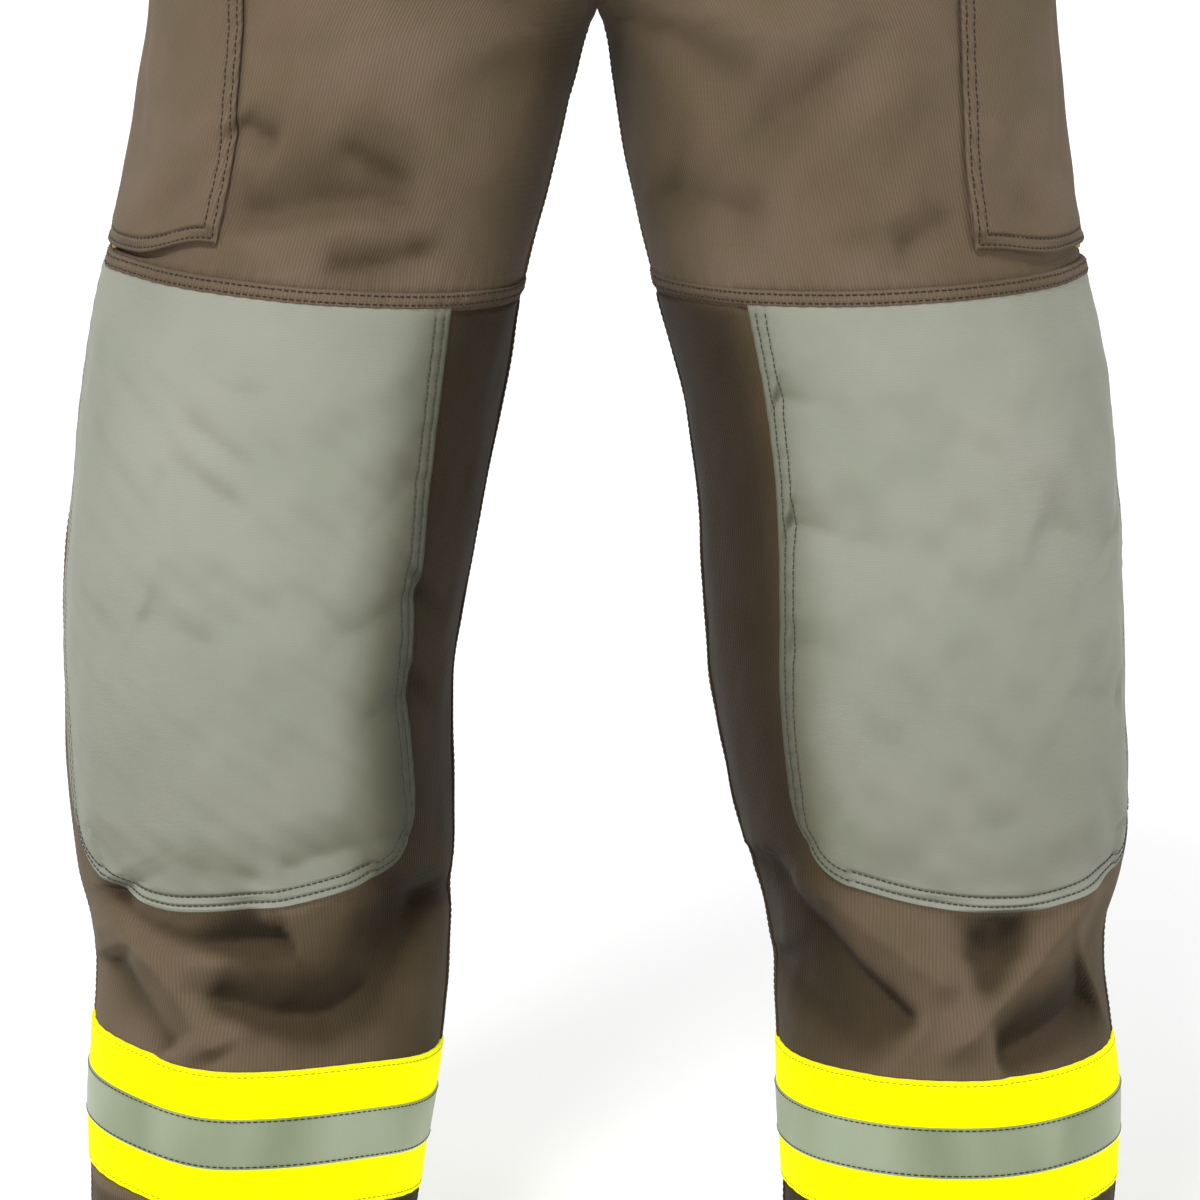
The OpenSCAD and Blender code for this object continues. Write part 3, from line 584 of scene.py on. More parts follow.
def joined(name, parts):
    """Several meshes as one piece."""
    points, faces, uvs, shades, mats, slots = [], [], [], [], [], []
    start = 0
    has_uv = all(p.data.uv_layers for p in parts)
    for p in parts:
        old = p.data
        points.append(read(old.vertices, "co", 3, float).reshape(-1, 3))
        mats += [m for m in old.materials if m not in mats]
        for f in old.polygons:
            faces.append([v + start for v in f.vertices])
            slots.append(mats.index(old.materials[f.material_index]))
        if has_uv:
            uvs.append(read(old.uv_layers[0].data, "uv", 2))
        shades.append(read(old.attributes["shade"].data, "value", 1))
        start += len(old.vertices)
        bpy.data.objects.remove(p)
        bpy.data.meshes.remove(old)
    obj = new_mesh(name, np.concatenate(points), faces, None, mats, np.concatenate(shades))
    obj.data.polygons.foreach_set("material_index", slots)
    if has_uv:
        obj.data.uv_layers.new(name="cloth").data.foreach_set("uv", np.concatenate(uvs))
    return obj


# ---------- materials ----------

def linear(r, g, b):
    """A screen colour from 0 to 255 as a shader colour."""
    def one(c):
        c /= 255
        return c / 12.92 if c <= 0.04045 else ((c + 0.055) / 1.055) ** 2.4
    return (one(r), one(g), one(b), 1)


# The scale that a Wave node needs for lines one metre apart.
WAVE = 0.314159


class Nodes:
    """A material's node tree, with short calls for what the garment's materials share."""

    def __init__(self, name, rough=0.85, metal=0.0, sheen=0.0, specular=0.3):
        self.mat = bpy.data.materials.new(name)
        self.mat.use_nodes = True
        self.tree = self.mat.node_tree
        self.shader = self.tree.nodes["Principled BSDF"]
        self.shader.inputs["Roughness"].default_value = rough
        self.shader.inputs["Metallic"].default_value = metal
        self.shader.inputs["Sheen Weight"].default_value = sheen
        self.shader.inputs["Sheen Roughness"].default_value = 0.45
        self.shader.inputs["Specular IOR Level"].default_value = specular
        self.coord = self.tree.nodes.new("ShaderNodeTexCoord")

    def feed(self, socket, value):
        """Link another node's output to a socket, or set a plain value."""
        if hasattr(value, "is_linked"):
            self.tree.links.new(value, socket)
        else:
            socket.default_value = value

    def put(self, kind, **inputs):
        node = self.tree.nodes.new(kind)
        for key, value in inputs.items():
            self.feed(node.inputs[key], value)
        return node

    def scaled(self, x, y, z=1.0, source="UV"):
        node = self.put("ShaderNodeMapping", Vector=self.coord.outputs[source])
        node.inputs["Scale"].default_value = (x, y, z)
        return node.outputs[0]

    def noise(self, x, y, scale=1.0, detail=2.0, source="UV", z=1.0):
        node = self.put("ShaderNodeTexNoise", Vector=self.scaled(x, y, z, source))
        node.inputs["Scale"].default_value = scale
        node.inputs["Detail"].default_value = detail
        return node.outputs["Fac"]

    def bands(self, period, axis="X", distortion=0.0):
        """Lines a period apart, in metres, across the cloth (X) or up it (Y)."""
        node = self.put("ShaderNodeTexWave", Vector=self.scaled(1, 1))
        node.bands_direction = axis
        node.inputs["Scale"].default_value = WAVE / period
        node.inputs["Distortion"].default_value = distortion
        return node.outputs["Fac"]

    def ramp(self, fac, *stops):
        node = self.put("ShaderNodeValToRGB", Fac=fac)
        element = node.color_ramp.elements
        while len(element) < len(stops):
            element.new(0.5)
        for e, (at, colour) in zip(element, stops):
            e.position = at
            e.color = colour
        return node.outputs["Color"]

    def mix(self, fac, a, b, kind="MIX"):
        node = self.tree.nodes.new("ShaderNodeMix")
        node.data_type = "RGBA"
        node.blend_type = kind
        # a Mix node keeps its sockets for colours after those for numbers and vectors
        for socket, value in ((0, fac), (6, a), (7, b)):
            self.feed(node.inputs[socket], value)
        return node.outputs[2]

    def maths(self, operation, a, b=0.5):
        node = self.tree.nodes.new("ShaderNodeMath")
        node.operation = operation
        for k, value in enumerate((a, b)):
            self.feed(node.inputs[k], value)
        return node.outputs[0]

    def attribute(self, name):
        node = self.tree.nodes.new("ShaderNodeAttribute")
        node.attribute_name = name
        return node.outputs["Fac"]

    def shaded(self, tone):
        """The tone, darkened by the painted shade that shading() stores, towards a warm dark brown."""
        dark = self.ramp(self.attribute("shade"), (0.0, (0.03, 0.022, 0.012, 1)),
                         (0.5, (0.48, 0.46, 0.40, 1)), (1.0, (1, 1, 1, 1)))
        return self.mix(1.0, tone, dark, "MULTIPLY")

    def colour(self, value):
        self.feed(self.shader.inputs["Base Color"], value)

    def rough(self, low, high, fac):
        node = self.put("ShaderNodeMapRange", Value=fac)
        node.inputs["To Min"].default_value = low
        node.inputs["To Max"].default_value = high
        self.tree.links.new(node.outputs[0], self.shader.inputs["Roughness"])

    def bump(self, *layers):
        """Each layer is (height, depth in mm)."""
        normal = None
        for height, depth in layers:
            node = self.put("ShaderNodeBump", Height=height)
            node.inputs["Strength"].default_value = 1.0
            node.inputs["Distance"].default_value = depth * MM
            if normal is not None:
                self.tree.links.new(normal, node.inputs["Normal"])
            normal = node.outputs[0]
        self.tree.links.new(normal, self.shader.inputs["Normal"])


def shell_material():
    n = Nodes("shell_cloth", rough=0.85, sheen=0.04, specular=0.12)
    tone = n.ramp(n.noise(9, 7, detail=4), (0.3, linear(103, 88, 68)), (0.5, linear(118, 101, 83)),
                  (0.7, linear(127, 110, 94)))
    hue = n.noise(24, 30, detail=3)
    tone = n.mix(n.ramp(hue, (0.45, (0, 0, 0, 1)), (0.72, (0.45, 0.45, 0.45, 1))), tone, linear(100, 94, 66))
    ribs = n.bands(0.0019, "X", 0.4)
    cross = n.bands(0.0031, "Y", 0.3)
    tone = n.mix(n.maths("MULTIPLY", ribs, 0.38), tone, linear(82, 68, 52), "MIX")
    grain = n.noise(900, 900, detail=2)
    tone = n.mix(n.maths("MULTIPLY", grain, 0.25), tone, linear(90, 78, 60))
    n.colour(n.shaded(tone))
    n.rough(0.72, 0.92, grain)
    n.bump((ribs, 0.16), (cross, 0.05), (grain, 0.12))
    return n.mat


def patch_material():
    n = Nodes("coated_cloth", rough=0.6, sheen=0.03, specular=0.25)
    tone = n.ramp(n.noise(7, 6, detail=3), (0.3, linear(142, 146, 130)), (0.5, linear(153, 155, 141)),
                  (0.7, linear(160, 161, 148)))
    tone = n.mix(n.ramp(n.noise(26, 20, detail=2), (0.5, (0, 0, 0, 1)), (0.75, (0.35, 0.35, 0.35, 1))),
                 tone, linear(140, 149, 130))
    ribs = n.bands(0.0013, "Y", 0.2)
    weave = n.bands(0.0013, "X", 0.2)
    tone = n.mix(n.maths("MULTIPLY", ribs, 0.10), tone, linear(128, 130, 116))
    n.colour(n.shaded(tone))
    grain = n.noise(500, 500, detail=2)
    n.rough(0.5, 0.68, grain)
    n.bump((ribs, 0.05), (weave, 0.03), (grain, 0.05))
    return n.mat


def lime_material():
    n = Nodes("lime_tape", rough=0.8, specular=0.05)
    weave = n.bands(0.0009, "X", 0.1)
    tone = n.mix(n.maths("MULTIPLY", weave, 0.08), (1.0, 0.98, 0.0, 1), (0.86, 0.88, 0.0, 1))
    n.colour(tone)
    # painted light: the tape glows a little, though it is no lamp, so it stays bright and flat
    n.shader.inputs["Emission Color"].default_value = (0.95, 1.0, 0.0, 1)
    n.shader.inputs["Emission Strength"].default_value = 0.32
    n.bump((weave, 0.05), (n.bands(0.0009, "Y", 0.1), 0.04))
    return n.mat


def silver_material():
    n = Nodes("silver_stripe", rough=0.45, metal=0.3, specular=0.4)
    tone = n.ramp(n.noise(11, 3, detail=2), (0.3, linear(112, 128, 92)), (0.5, linear(158, 168, 140)),
                  (0.68, linear(172, 186, 162)))
    beads = n.noise(2500, 2500, detail=1)
    n.colour(n.mix(n.maths("MULTIPLY", beads, 0.2), tone, linear(190, 196, 180)))
    n.rough(0.35, 0.55, n.noise(60, 60, detail=2))
    n.bump((beads, 0.05), (n.bands(0.0016, "X", 0.1), 0.02))
    return n.mat


def thread_material(name, colour):
    n = Nodes(name, rough=0.75, sheen=0.2)
    fuzz = n.noise(900, 900, source="Object", z=900)
    n.colour(n.mix(fuzz, linear(*colour), linear(*[c * 0.72 for c in colour])))
    n.bump((n.noise(2600, 2600, source="Object", z=2600), 0.1))
    return n.mat


def webbing_material():
    n = Nodes("webbing", rough=0.8, sheen=0.25)
    ribs = n.bands(0.0022, "Y", 0.3)
    twill = n.bands(0.0016, "DIAGONAL", 0.2)
    n.colour(n.mix(ribs, linear(34, 32, 30), linear(52, 49, 45)))
    n.bump((ribs, 0.25), (twill, 0.12))
    return n.mat


def fuzzy_material():
    n = Nodes("hook_and_loop", rough=0.95, sheen=0.5)
    fuzz = n.noise(1500, 1500, detail=4)
    n.colour(n.mix(fuzz, linear(26, 25, 24), linear(58, 55, 50)))
    n.bump((fuzz, 0.5))
    return n.mat


def barrier_material():
    n = Nodes("moisture_barrier", rough=0.5, sheen=0.05)
    n.colour(n.mix(n.noise(30, 30, detail=3), linear(222, 222, 212), linear(202, 204, 196)))
    n.bump((n.noise(400, 400, detail=3), 0.08))
    return n.mat


def liner_material():
    n = Nodes("thermal_liner", rough=0.88, sheen=0.2)
    weave = n.bands(0.0012, "X", 0.2)
    tone = n.mix(n.noise(14, 14, detail=3), linear(196, 166, 92), linear(176, 148, 84))
    n.colour(n.mix(n.maths("MULTIPLY", weave, 0.3), tone, linear(150, 122, 66)))
    n.bump((weave, 0.1), (n.noise(700, 700, detail=2), 0.1))
    return n.mat


def foam_material():
    n = Nodes("foam", rough=0.95)
    cells = n.noise(700, 700, source="Object", z=700, detail=3)
    n.colour(n.mix(cells, linear(214, 206, 176), linear(188, 178, 146)))
    n.bump((cells, 0.4))
    return n.mat


def metal_material(name, colour, rough):
    n = Nodes(name, rough=rough, metal=1.0, specular=0.5)
    brushed = n.noise(60, 60, source="Object", z=900, detail=3)
    n.colour(n.mix(brushed, linear(*colour), linear(*[c * 0.82 for c in colour])))
    n.rough(rough * 0.8, rough * 1.35, brushed)
    n.bump((brushed, 0.03))
    return n.mat


SHELL = shell_material()
PATCH = patch_material()
LIME = lime_material()
SILVER = silver_material()
BROWN_THREAD = thread_material("brown_thread", (46, 37, 27))
GREY_THREAD = thread_material("grey_thread", (72, 76, 66))
LIME_THREAD = thread_material("lime_thread", (196, 200, 20))
BLACK_THREAD = thread_material("black_thread", (28, 27, 26))
WEBBING = webbing_material()
FUZZ = fuzzy_material()
BARRIER = barrier_material()
LINER = liner_material()
FOAM = foam_material()
STEEL = metal_material("steel", (176, 176, 172), 0.34)
BRASS = metal_material("brass", (186, 150, 84), 0.36)


# ---------- outer shell ----------

SHELL_THICK = 1.4
STEP = 4.0
ROUND = np.arange(-90, 270, 1.5)
FRONT = np.linspace(-90, 90, 121)
BACK = np.linspace(90, 270, 91)


def declare(node):
    """Hides the CAD node that a piece stands for, if any."""
    if node is not None:
        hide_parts(node)


def settle(piece, body, node=None):
    """A piece that rides on one body."""
    declare(node)
    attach(piece, body)
    return piece


def bend(piece, node=None):
    """A piece of the knee: hides its CAD node, if any, and bakes its transform in place."""
    declare(node)
    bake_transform(piece)
    return piece


def as_sheet(piece):
    return piece


def pucker(a, z, at, strength=0.55, period=8.5):
    """Small waves along a level seam, fading away from it."""
    turn = np.radians(a)
    wave = np.sin(turn * LEG_RADIUS * 2 * np.pi / period + 3 * np.sin(turn * 5))
    return strength * wave * np.exp(-np.abs(z - at) / 9)


def edged(low, high, edge, count):
    """Steps from low to high, with a short one at each end for a rounded edge."""
    return np.concatenate([[low], np.linspace(low + edge, high - edge, count), [high]])


def sewn_row(side, u, z, angle, lift, thread=BROWN_THREAD, above=0.12, **size):
    """A row of stitches on a piece: u and z are its own, as cloth() gives them to lift."""
    u, z = np.broadcast_arrays(np.asarray(u, float), np.asarray(z, float))
    a = u if angle is None else angle(u, z)
    return stitches("row", side, a, z, lift(a, z, u, z) + above, thread, **size)


def up_to_band(side, last, under):
    """Heights whose last row follows the waistband's slanting lower edge, some way under it."""
    def height(u, v):
        top = waist_top(real_angle(side, u, WAIST_FRONT)) - BAND_WIDTH + under
        return v + (top - last) * smooth(last - 150, last, v)
    return height


def make_thigh(side):
    rows = spaced(KNEE_SEAM, WAIST_FRONT - BAND_WIDTH, STEP, [KNEE_SEAM + 4])

    def lift(a, z, u, v):
        return pucker(a, z, KNEE_SEAM + 8)

    for face, us in (("front", FRONT), ("back", BACK)):
        piece = cloth(f"{side}_thigh_{face}_cloth", side, us, rows, lift, SHELL_THICK, SHELL,
                      height=up_to_band(side, rows[-1], 2))
        as_sheet(settle(piece, ROOT, f"{side}_thigh_{face}"))


def make_knee(side):
    rows = spaced(PATCH_BOTTOM - 0.3, KNEE_SEAM, STEP)
    rows = np.insert(rows, 1, rows[0] + 0.15)
    piece = cloth(f"{side}_knee_cloth", side, ROUND, rows, 0, SHELL_THICK, SHELL, ring=True)
    as_sheet(bend(piece, f"{side}_knee_shell"))


def make_shin(side):
    rows = spaced(1, PATCH_BOTTOM - 0.3, 2.5)
    rows = np.insert(rows, -1, rows[-1] - 0.15)
    for face, us in (("front", FRONT), ("back", BACK)):
        piece = cloth(f"{side}_shin_{face}_cloth", side, us, rows, 0, SHELL_THICK, SHELL)
        as_sheet(settle(piece, f"{side}_shin", f"{side}_shin_{face}"))


# ---------- knee patch ----------

PATCH_START = {LEFT: -39.0, RIGHT: -51.0}
PATCH_SWEEP = 126.0
# How far the patch leans: degrees outwards at its top and inwards at its bottom.
PATCH_LEAN = {LEFT: (3.5, 8.0), RIGHT: (9.0, 6.5)}
PATCH_CORNER = 34.0
PATCH_BOW = 22.0
# Where its lowest point is, as a share of its width from the inner edge.
PATCH_LOWEST = {LEFT: 0.55, RIGHT: 0.66}
PATCH_LOW = PATCH_BOTTOM - 4
MM_PER_DEGREE = 229 / PATCH_SWEEP
STITCH_INSETS = (3.2, 8.2)


def patch_angle(side):
    """Across the patch in nominal degrees, which leans with height."""
    def angle(u, z):
        up, down = PATCH_LEAN[side]
        share = np.clip((z - PATCH_BOTTOM) / (KNEE_SEAM - PATCH_BOTTOM), 0, 1)
        return u + up * share - down * (1 - share)
    return angle


def patch_bow(side, u):
    """How far the lower edge curves up on both sides of its lowest point."""
    share = (u - PATCH_START[side]) / PATCH_SWEEP
    lowest = PATCH_LOWEST[side]
    return PATCH_BOW * np.abs((share - lowest) / np.where(share < lowest, lowest, 1 - lowest)) ** 1.6


def patch_bottom(u, side):
    """Height of the patch's lower edge above its lowest point: two round corners, slightly bowed."""
    d = np.minimum(u - PATCH_START[side], PATCH_START[side] + PATCH_SWEEP - u) * MM_PER_DEGREE
    d = np.clip(d, 0, None)
    r = PATCH_CORNER
    rise = np.where(d < r, r - np.sqrt(np.clip(r * r - (r - d) ** 2, 0, None)), 0)
    return rise + patch_bow(side, u)


def patch_edge_distance(side, a, z):
    """How far a point of the patch is from its nearest sewn edge, in mm."""
    d = np.minimum(a - PATCH_START[side], PATCH_START[side] + PATCH_SWEEP - a) * MM_PER_DEGREE
    low = z - PATCH_LOW - patch_bottom(a, side)
    r = PATCH_CORNER
    corner_x, corner_z = r - d, r - (z - PATCH_LOW)
    in_corner = (corner_x > 0) & (corner_z > 0)
    return np.where(in_corner, r - np.hypot(corner_x, corner_z), np.minimum(d, np.maximum(low, 0)))


def patch_lift(side):
    def lift(a, z, u, v):
        edge = np.clip(patch_edge_distance(side, u, z), 0, None)
        puff = 4.6 * smooth(4, 46, edge) * smooth(0, 40, KNEE_SEAM - z)
        ripple = 0.7 * noise(21 + SIGN[side], 55, 45, np.radians(a) * LEG_RADIUS, z)
        ripple = ripple * smooth(2, 26, edge) * smooth(0, 30, KNEE_SEAM - z)
        sewn = sum(-0.55 * bell(edge, s, 0.9) for s in STITCH_INSETS)
        tug = 0.35 * np.sin(z * 2 * np.pi / 11 + 2 * np.sin(z / 17)) * np.exp(-np.abs(edge - 6) / 5)
        return 1.8 + puff + ripple + sewn + tug
    return lift


def make_patch(side):
    start, end = PATCH_START[side], PATCH_START[side] + PATCH_SWEEP
    insets = [s / MM_PER_DEGREE for s in STITCH_INSETS]
    fine = 0.5 / MM_PER_DEGREE
    us = spaced(start, end, 1.6, [start + i for i in insets] + [end - i for i in insets], fine, 4 * fine)
    # rows lie closer together near the lower edge; their heights are shares of about 300 mm
    vs = np.concatenate([np.arange(0, 13, 0.5), np.linspace(13, 50, 20)[1:], np.linspace(50, 300, 90)[1:]])
    vs = vs / 300

    def height(u, v):
        low = PATCH_LOW + patch_bottom(u, side)
        high = KNEE_SEAM + 4
        return low + v * (high - low)

    piece = cloth(f"{side}_patch_cloth", side, us, vs, patch_lift(side), 1.5, PATCH,
                  angle=patch_angle(side), height=height)
    as_sheet(bend(piece, f"{side}_knee_patch"))
    corner = PATCH_LOW + PATCH_CORNER
    upright = np.linspace(KNEE_SEAM - 2, corner + 8, 40)
    c_in, c_out = start + PATCH_CORNER / MM_PER_DEGREE, end - PATCH_CORNER / MM_PER_DEGREE
    parts = []
    for inset in STITCH_INSETS:
        r = PATCH_CORNER - inset
        first, last = np.radians(np.linspace(180, 270, 14)), np.radians(np.linspace(270, 360, 14))
        bottom = np.linspace(c_in, c_out, 30)[1:-1]
        # down the inner side, round a corner, along the bottom, round a corner and up
        a = np.concatenate([np.full(40, start + inset / MM_PER_DEGREE),
                            c_in + r * np.cos(first) / MM_PER_DEGREE, bottom,
                            c_out + r * np.cos(last) / MM_PER_DEGREE,
                            np.full(40, end - inset / MM_PER_DEGREE)])
        z = np.concatenate([upright, corner + r * np.sin(first),
                            np.full_like(bottom, PATCH_LOW + inset),
                            corner + r * np.sin(last), upright[::-1]])
        z = z + patch_bow(side, a) * (1 - smooth(0, 90, z - PATCH_LOW))
        dense = np.linspace(0, len(a) - 1, 900)
        a, z = [np.interp(dense, np.arange(len(a)), values) for values in (a, z)]
        parts.append(sewn_row(side, a, z, patch_angle(side), patch_lift(side), GREY_THREAD, 0.1, pitch=3.1))
    bend(joined(f"{side}_patch_stitching", parts))


# ---------- seams ----------

# Where a level seam's two rows of stitches are, as a share of its width from its middle.
SEAM_ROW = 0.26


def seam_band(side, at, width, ring_lift, name):
    """A level felled seam round the leg."""
    vs = edged(at - width / 2, at + width / 2, 0.4, 14)

    def lift(a, z, u, v):
        across = (v - at) / (width / 2)
        crown = ring_lift(a) * (1 - 0.35 * across**8) + pucker(a, z, at, 0.35)
        sewn = 0.3 * bell(np.abs(v - at), width * SEAM_ROW, 0.9)
        return crown - sewn - 0.9 * smooth(0.93, 1, np.abs(across))

    return cloth(name, side, np.arange(-90, 270, 1.0), vs, lift, 1.3, SHELL, ring=True), lift


def make_knee_seam(side):
    at, width = KNEE_SEAM + 5.5, 8.0

    def over_patch(a):
        edge = np.minimum(a - PATCH_START[side], PATCH_START[side] + PATCH_SWEEP - a)
        return 1.2 + 1.5 * smooth(-3, 3, edge)

    band, lift = seam_band(side, at, width, over_patch, f"{side}_knee_seam")
    settle(band, ROOT)
    around = np.linspace(-90, 269.9, 1400)
    parts = [sewn_row(side, around, at + width * share, None, lift) for share in (-SEAM_ROW, SEAM_ROW)]
    settle(joined(f"{side}_knee_seam_stitching", parts), ROOT)


def upright_seam(side, name, angle, low, high, body, width=9.0):
    """A felled seam that runs up the garment, with two rows of stitches. Without a body it is not
    attached to one and keeps its place, with its transform baked in."""
    half = width / 2
    us = edged(-half, half, 0.4, 9)
    vs = spaced(low, high, STEP)

    def angle_of(u, z):
        _, a, _, b = oval(side, z)
        return angle + np.degrees(u / ((a + b) / 2))

    def lift(a, z, u, v):
        return 1.0 - 0.3 * bell(np.abs(u), half * 0.5, 0.8) - 0.7 * smooth(half - 0.5, half, np.abs(u))

    piece = cloth(name, side, us, vs, lift, 1.1, SHELL, angle=angle_of)
    parts = []
    z = np.linspace(low + 2, high - 2, int((high - low) / 2))
    for u in (-half * 0.5, half * 0.5):
        parts.append(stitches("row", side, angle_of(np.full_like(z, u), z), z, 0.85, BROWN_THREAD))
    thread = joined(f"{name}_stitching", parts)
    for p in (piece, thread):
        if body is None:
            bend(p)
        else:
            settle(p, body)


def make_upright_seams(side):
    for where, angle in (("side", 90.0), ("inner", -90.0)):
        top = 556 if where == "side" else 672
        upright_seam(side, f"{side}_{where}_seam_shin", angle, 30, PATCH_BOTTOM, f"{side}_shin")
        upright_seam(side, f"{side}_{where}_seam_knee", angle, PATCH_BOTTOM, KNEE_SEAM - 3, None)
        upright_seam(side, f"{side}_{where}_seam_thigh", angle, KNEE_SEAM + 9, top, ROOT)
    upright_seam(side, f"{side}_side_seam_hip", 90.0, 818, 940, ROOT)


# ---------- reflective trim ----------

TRIM_TILT = {LEFT: 1.5, RIGHT: 8.0}
TRIM_SHIFT = {LEFT: -3.5, RIGHT: 1.5}
TRIM_LOW, TRIM_HIGH = cad_range("left_trim_tape", 2)
TRIM_MIDDLE = (TRIM_LOW + TRIM_HIGH) / 2
TRIM_WIDTH = TRIM_HIGH - TRIM_LOW
STRIPE_WIDTH = cad_range("left_trim_stripe", 2)[1] - cad_range("left_trim_stripe", 2)[0]


def trim_height(side):
    """The trim's middle line slopes and sags a little round the cuff."""
    def height(u, v):
        tilt = TRIM_TILT[side] * np.sin(np.radians(u))
        sag = 0.55 * TRIM_TILT[side] * (bell(u, -35, 28) - 0.7 * bell(u, 20, 20))
        return TRIM_MIDDLE + TRIM_SHIFT[side] + v + tilt + sag
    return height


def make_trim(side):
    half = TRIM_WIDTH / 2
    height = trim_height(side)
    tape_row, stripe_row = half - 2.5, STRIPE_WIDTH / 2 + 1.2

    def tape_lift(a, z, u, v):
        dent = sum(-0.35 * bell(np.abs(v), s, 0.8) for s in (tape_row, stripe_row))
        ripple = 0.25 * np.sin(u * 0.9) * np.exp(-(half - np.abs(v)) / 4)
        return 1.9 + dent - 0.9 * smooth(half - 0.6, half, np.abs(v)) + ripple

    rows = spaced(-half, half, 2.5, [tape_row, -tape_row, stripe_row, -stripe_row], 0.5, 1.5)
    tape = cloth(f"{side}_lime_tape", side, ROUND, rows, tape_lift, 1.0, LIME, height=height, ring=True)
    as_sheet(settle(tape, f"{side}_shin", f"{side}_trim_tape"))

    def stripe_lift(a, z, u, v):
        return 2.45 - 0.5 * smooth(STRIPE_WIDTH / 2 - 0.5, STRIPE_WIDTH / 2, np.abs(v))

    stripe_rows = edged(-STRIPE_WIDTH / 2, STRIPE_WIDTH / 2, 0.5, 9)
    stripe = cloth(f"{side}_silver_stripe", side, ROUND, stripe_rows, stripe_lift, 0.4, SILVER,
                   height=height, ring=True)
    as_sheet(settle(stripe, f"{side}_shin", f"{side}_trim_stripe"))
    parts = []
    a = np.linspace(-90, 269.9, 1200)
    for off, top, thread in ((tape_row, 1.65, LIME_THREAD), (STRIPE_WIDTH / 2 - 1.4, 2.5, BROWN_THREAD)):
        for v in (off, -off):
            parts.append(stitches("row", side, a, height(a, v), top, thread, thick=0.34))
    settle(joined(f"{side}_trim_stitching", parts), f"{side}_shin")


# ---------- hem, linings and pad ----------

def make_binding(side):
    low, high = cad_range(f"{side}_cuff_binding", 2)
    rows = edged(low, high, 0.5, 13)

    def lift(a, z, u, v):
        edge = np.minimum(v - low, high - v)
        row = -0.35 * bell(high - v, 3, 0.9)
        return 1.4 + 1.2 * smooth(0, 1.2, edge) + row + 0.2 * np.sin(u * 0.8) * np.exp(-(high - v) / 4)

    piece = cloth(f"{side}_hem_binding", side, ROUND, rows, lift, 1.8, PATCH, ring=True)
    as_sheet(settle(piece, f"{side}_shin", f"{side}_cuff_binding"))
    a = np.linspace(-90, 269.9, 1000)
    z = np.full_like(a, high - 3)
    thread = stitches(f"{side}_hem_stitching", side, a, z, 2.3, GREY_THREAD)
    settle(thread, f"{side}_shin")


QUILT = 64.0


def quilt(a, z):
    """Thickness of the quilted liner: thin along two sets of slanting rows of stitches."""
    around = np.radians(a) * LEG_RADIUS
    cells = np.abs(np.sin((around + z) * np.pi / QUILT)) * np.abs(np.sin((around - z) * np.pi / QUILT))
    return 1.4 + 2.0 * cells**0.45


# Each lining: name, place against the shell's outside, slot, material and mesh step.
LAYERS = (("barrier", -2.8, "moisture_barrier", BARRIER, 5.0), ("liner", -4.6, "thermal_liner", LINER, 4.5))


def make_linings():
    for layer, lift, slot, material, step in LAYERS:
        def thick(a, z, u, v):
            return quilt(a, z) if layer == "liner" else 0.9

        around = np.arange(-90, 270, math.degrees(step / 110))
        seats = []
        for side in SIDES:
            for part in ("knee", "shin"):
                node = f"{side}_{layer}_{part}"
                low, high = cad_range(node, 2)
                rows = spaced(low, high, step)
                piece = cloth(f"{node}_cloth", side, around, rows, lift, thick, material, ring=True)
                if part == "knee":
                    bend(piece, node)
                else:
                    settle(piece, f"{side}_shin", node)
                as_sheet(piece)
            low = cad_range(f"{layer}_seat", 2)[0]
            top = WAIST_FRONT - BAND_WIDTH + 8
            for start, end in ((-89.4, 90), (90, 269.4)):
                us = np.linspace(start, end, int(330 / step))
                seats.append(cloth("part", side, us, spaced(low, top, step), lift, thick, material,
                                   height=up_to_band(side, top, 8)))
        seat = joined(f"{layer}_seat_cloth", seats)
        settle(seat, ROOT, f"{layer}_seat")
        as_sheet(seat)


def make_pad(side):
    start, end = PATCH_START[side] + 9, PATCH_START[side] + PATCH_SWEEP - 9
    low, high = cad_range(f"{side}_knee_pad", 2)
    cover = patch_lift(side)

    def lift(a, z, u, v):
        return np.maximum(cover(a, z, u, v) - 1.8, 0.8)

    def thick(a, z, u, v):
        return lift(a, z, u, v) - 0.25

    piece = cloth(f"{side}_knee_pad_foam", side, np.linspace(start, end, 50), spaced(low + 4, high - 8, 5.0),
                  lift, thick, FOAM, angle=patch_angle(side))
    bend(piece, f"{side}_knee_pad")


# ---------- pockets ----------

POCKET_WIDTH = 222.0
POCKET_LEAN = 14.0
POCKET_LOW, POCKET_HIGH = cad_range("left_pocket_face", 2)
FLAP_LOW, FLAP_HIGH = cad_range("left_pocket_flap", 2)
FULLNESS = 8.0
# How far the pocket's edge stands off the leg.
POCKET_EDGE = 1.9
# Rows of stitches: how far they are from the edges, in mm.
POCKET_ROWS = (2.2, 7.0)
MOUTH_ROWS = (3.0, 9.0)
FLAP_ROWS = (2.5, 8.0)
FLAP_TOP_ROWS = (3.0, 8.0)
BAND_ROWS = (2.5, 8.5)
# Shares of the pocket's width: how far the flap reaches past it, and where the strips end.
FLAP_OVER = 0.02
STRIP_ENDS = (0.12, 0.88)


def pocket_angle(side):
    """Across the pocket from 0 in front to 1 behind; its lower end leans forward."""
    def angle(u, z):
        _, a, _, b = oval(side, z)
        lean = POCKET_LEAN * (1 - np.clip((z - POCKET_LOW) / (POCKET_HIGH - POCKET_LOW), 0, 1)) ** 2
        return seam_angle(side, 90 + np.degrees(((u - 0.5) * POCKET_WIDTH - lean) * 2 / (a + b)), z)
    return angle


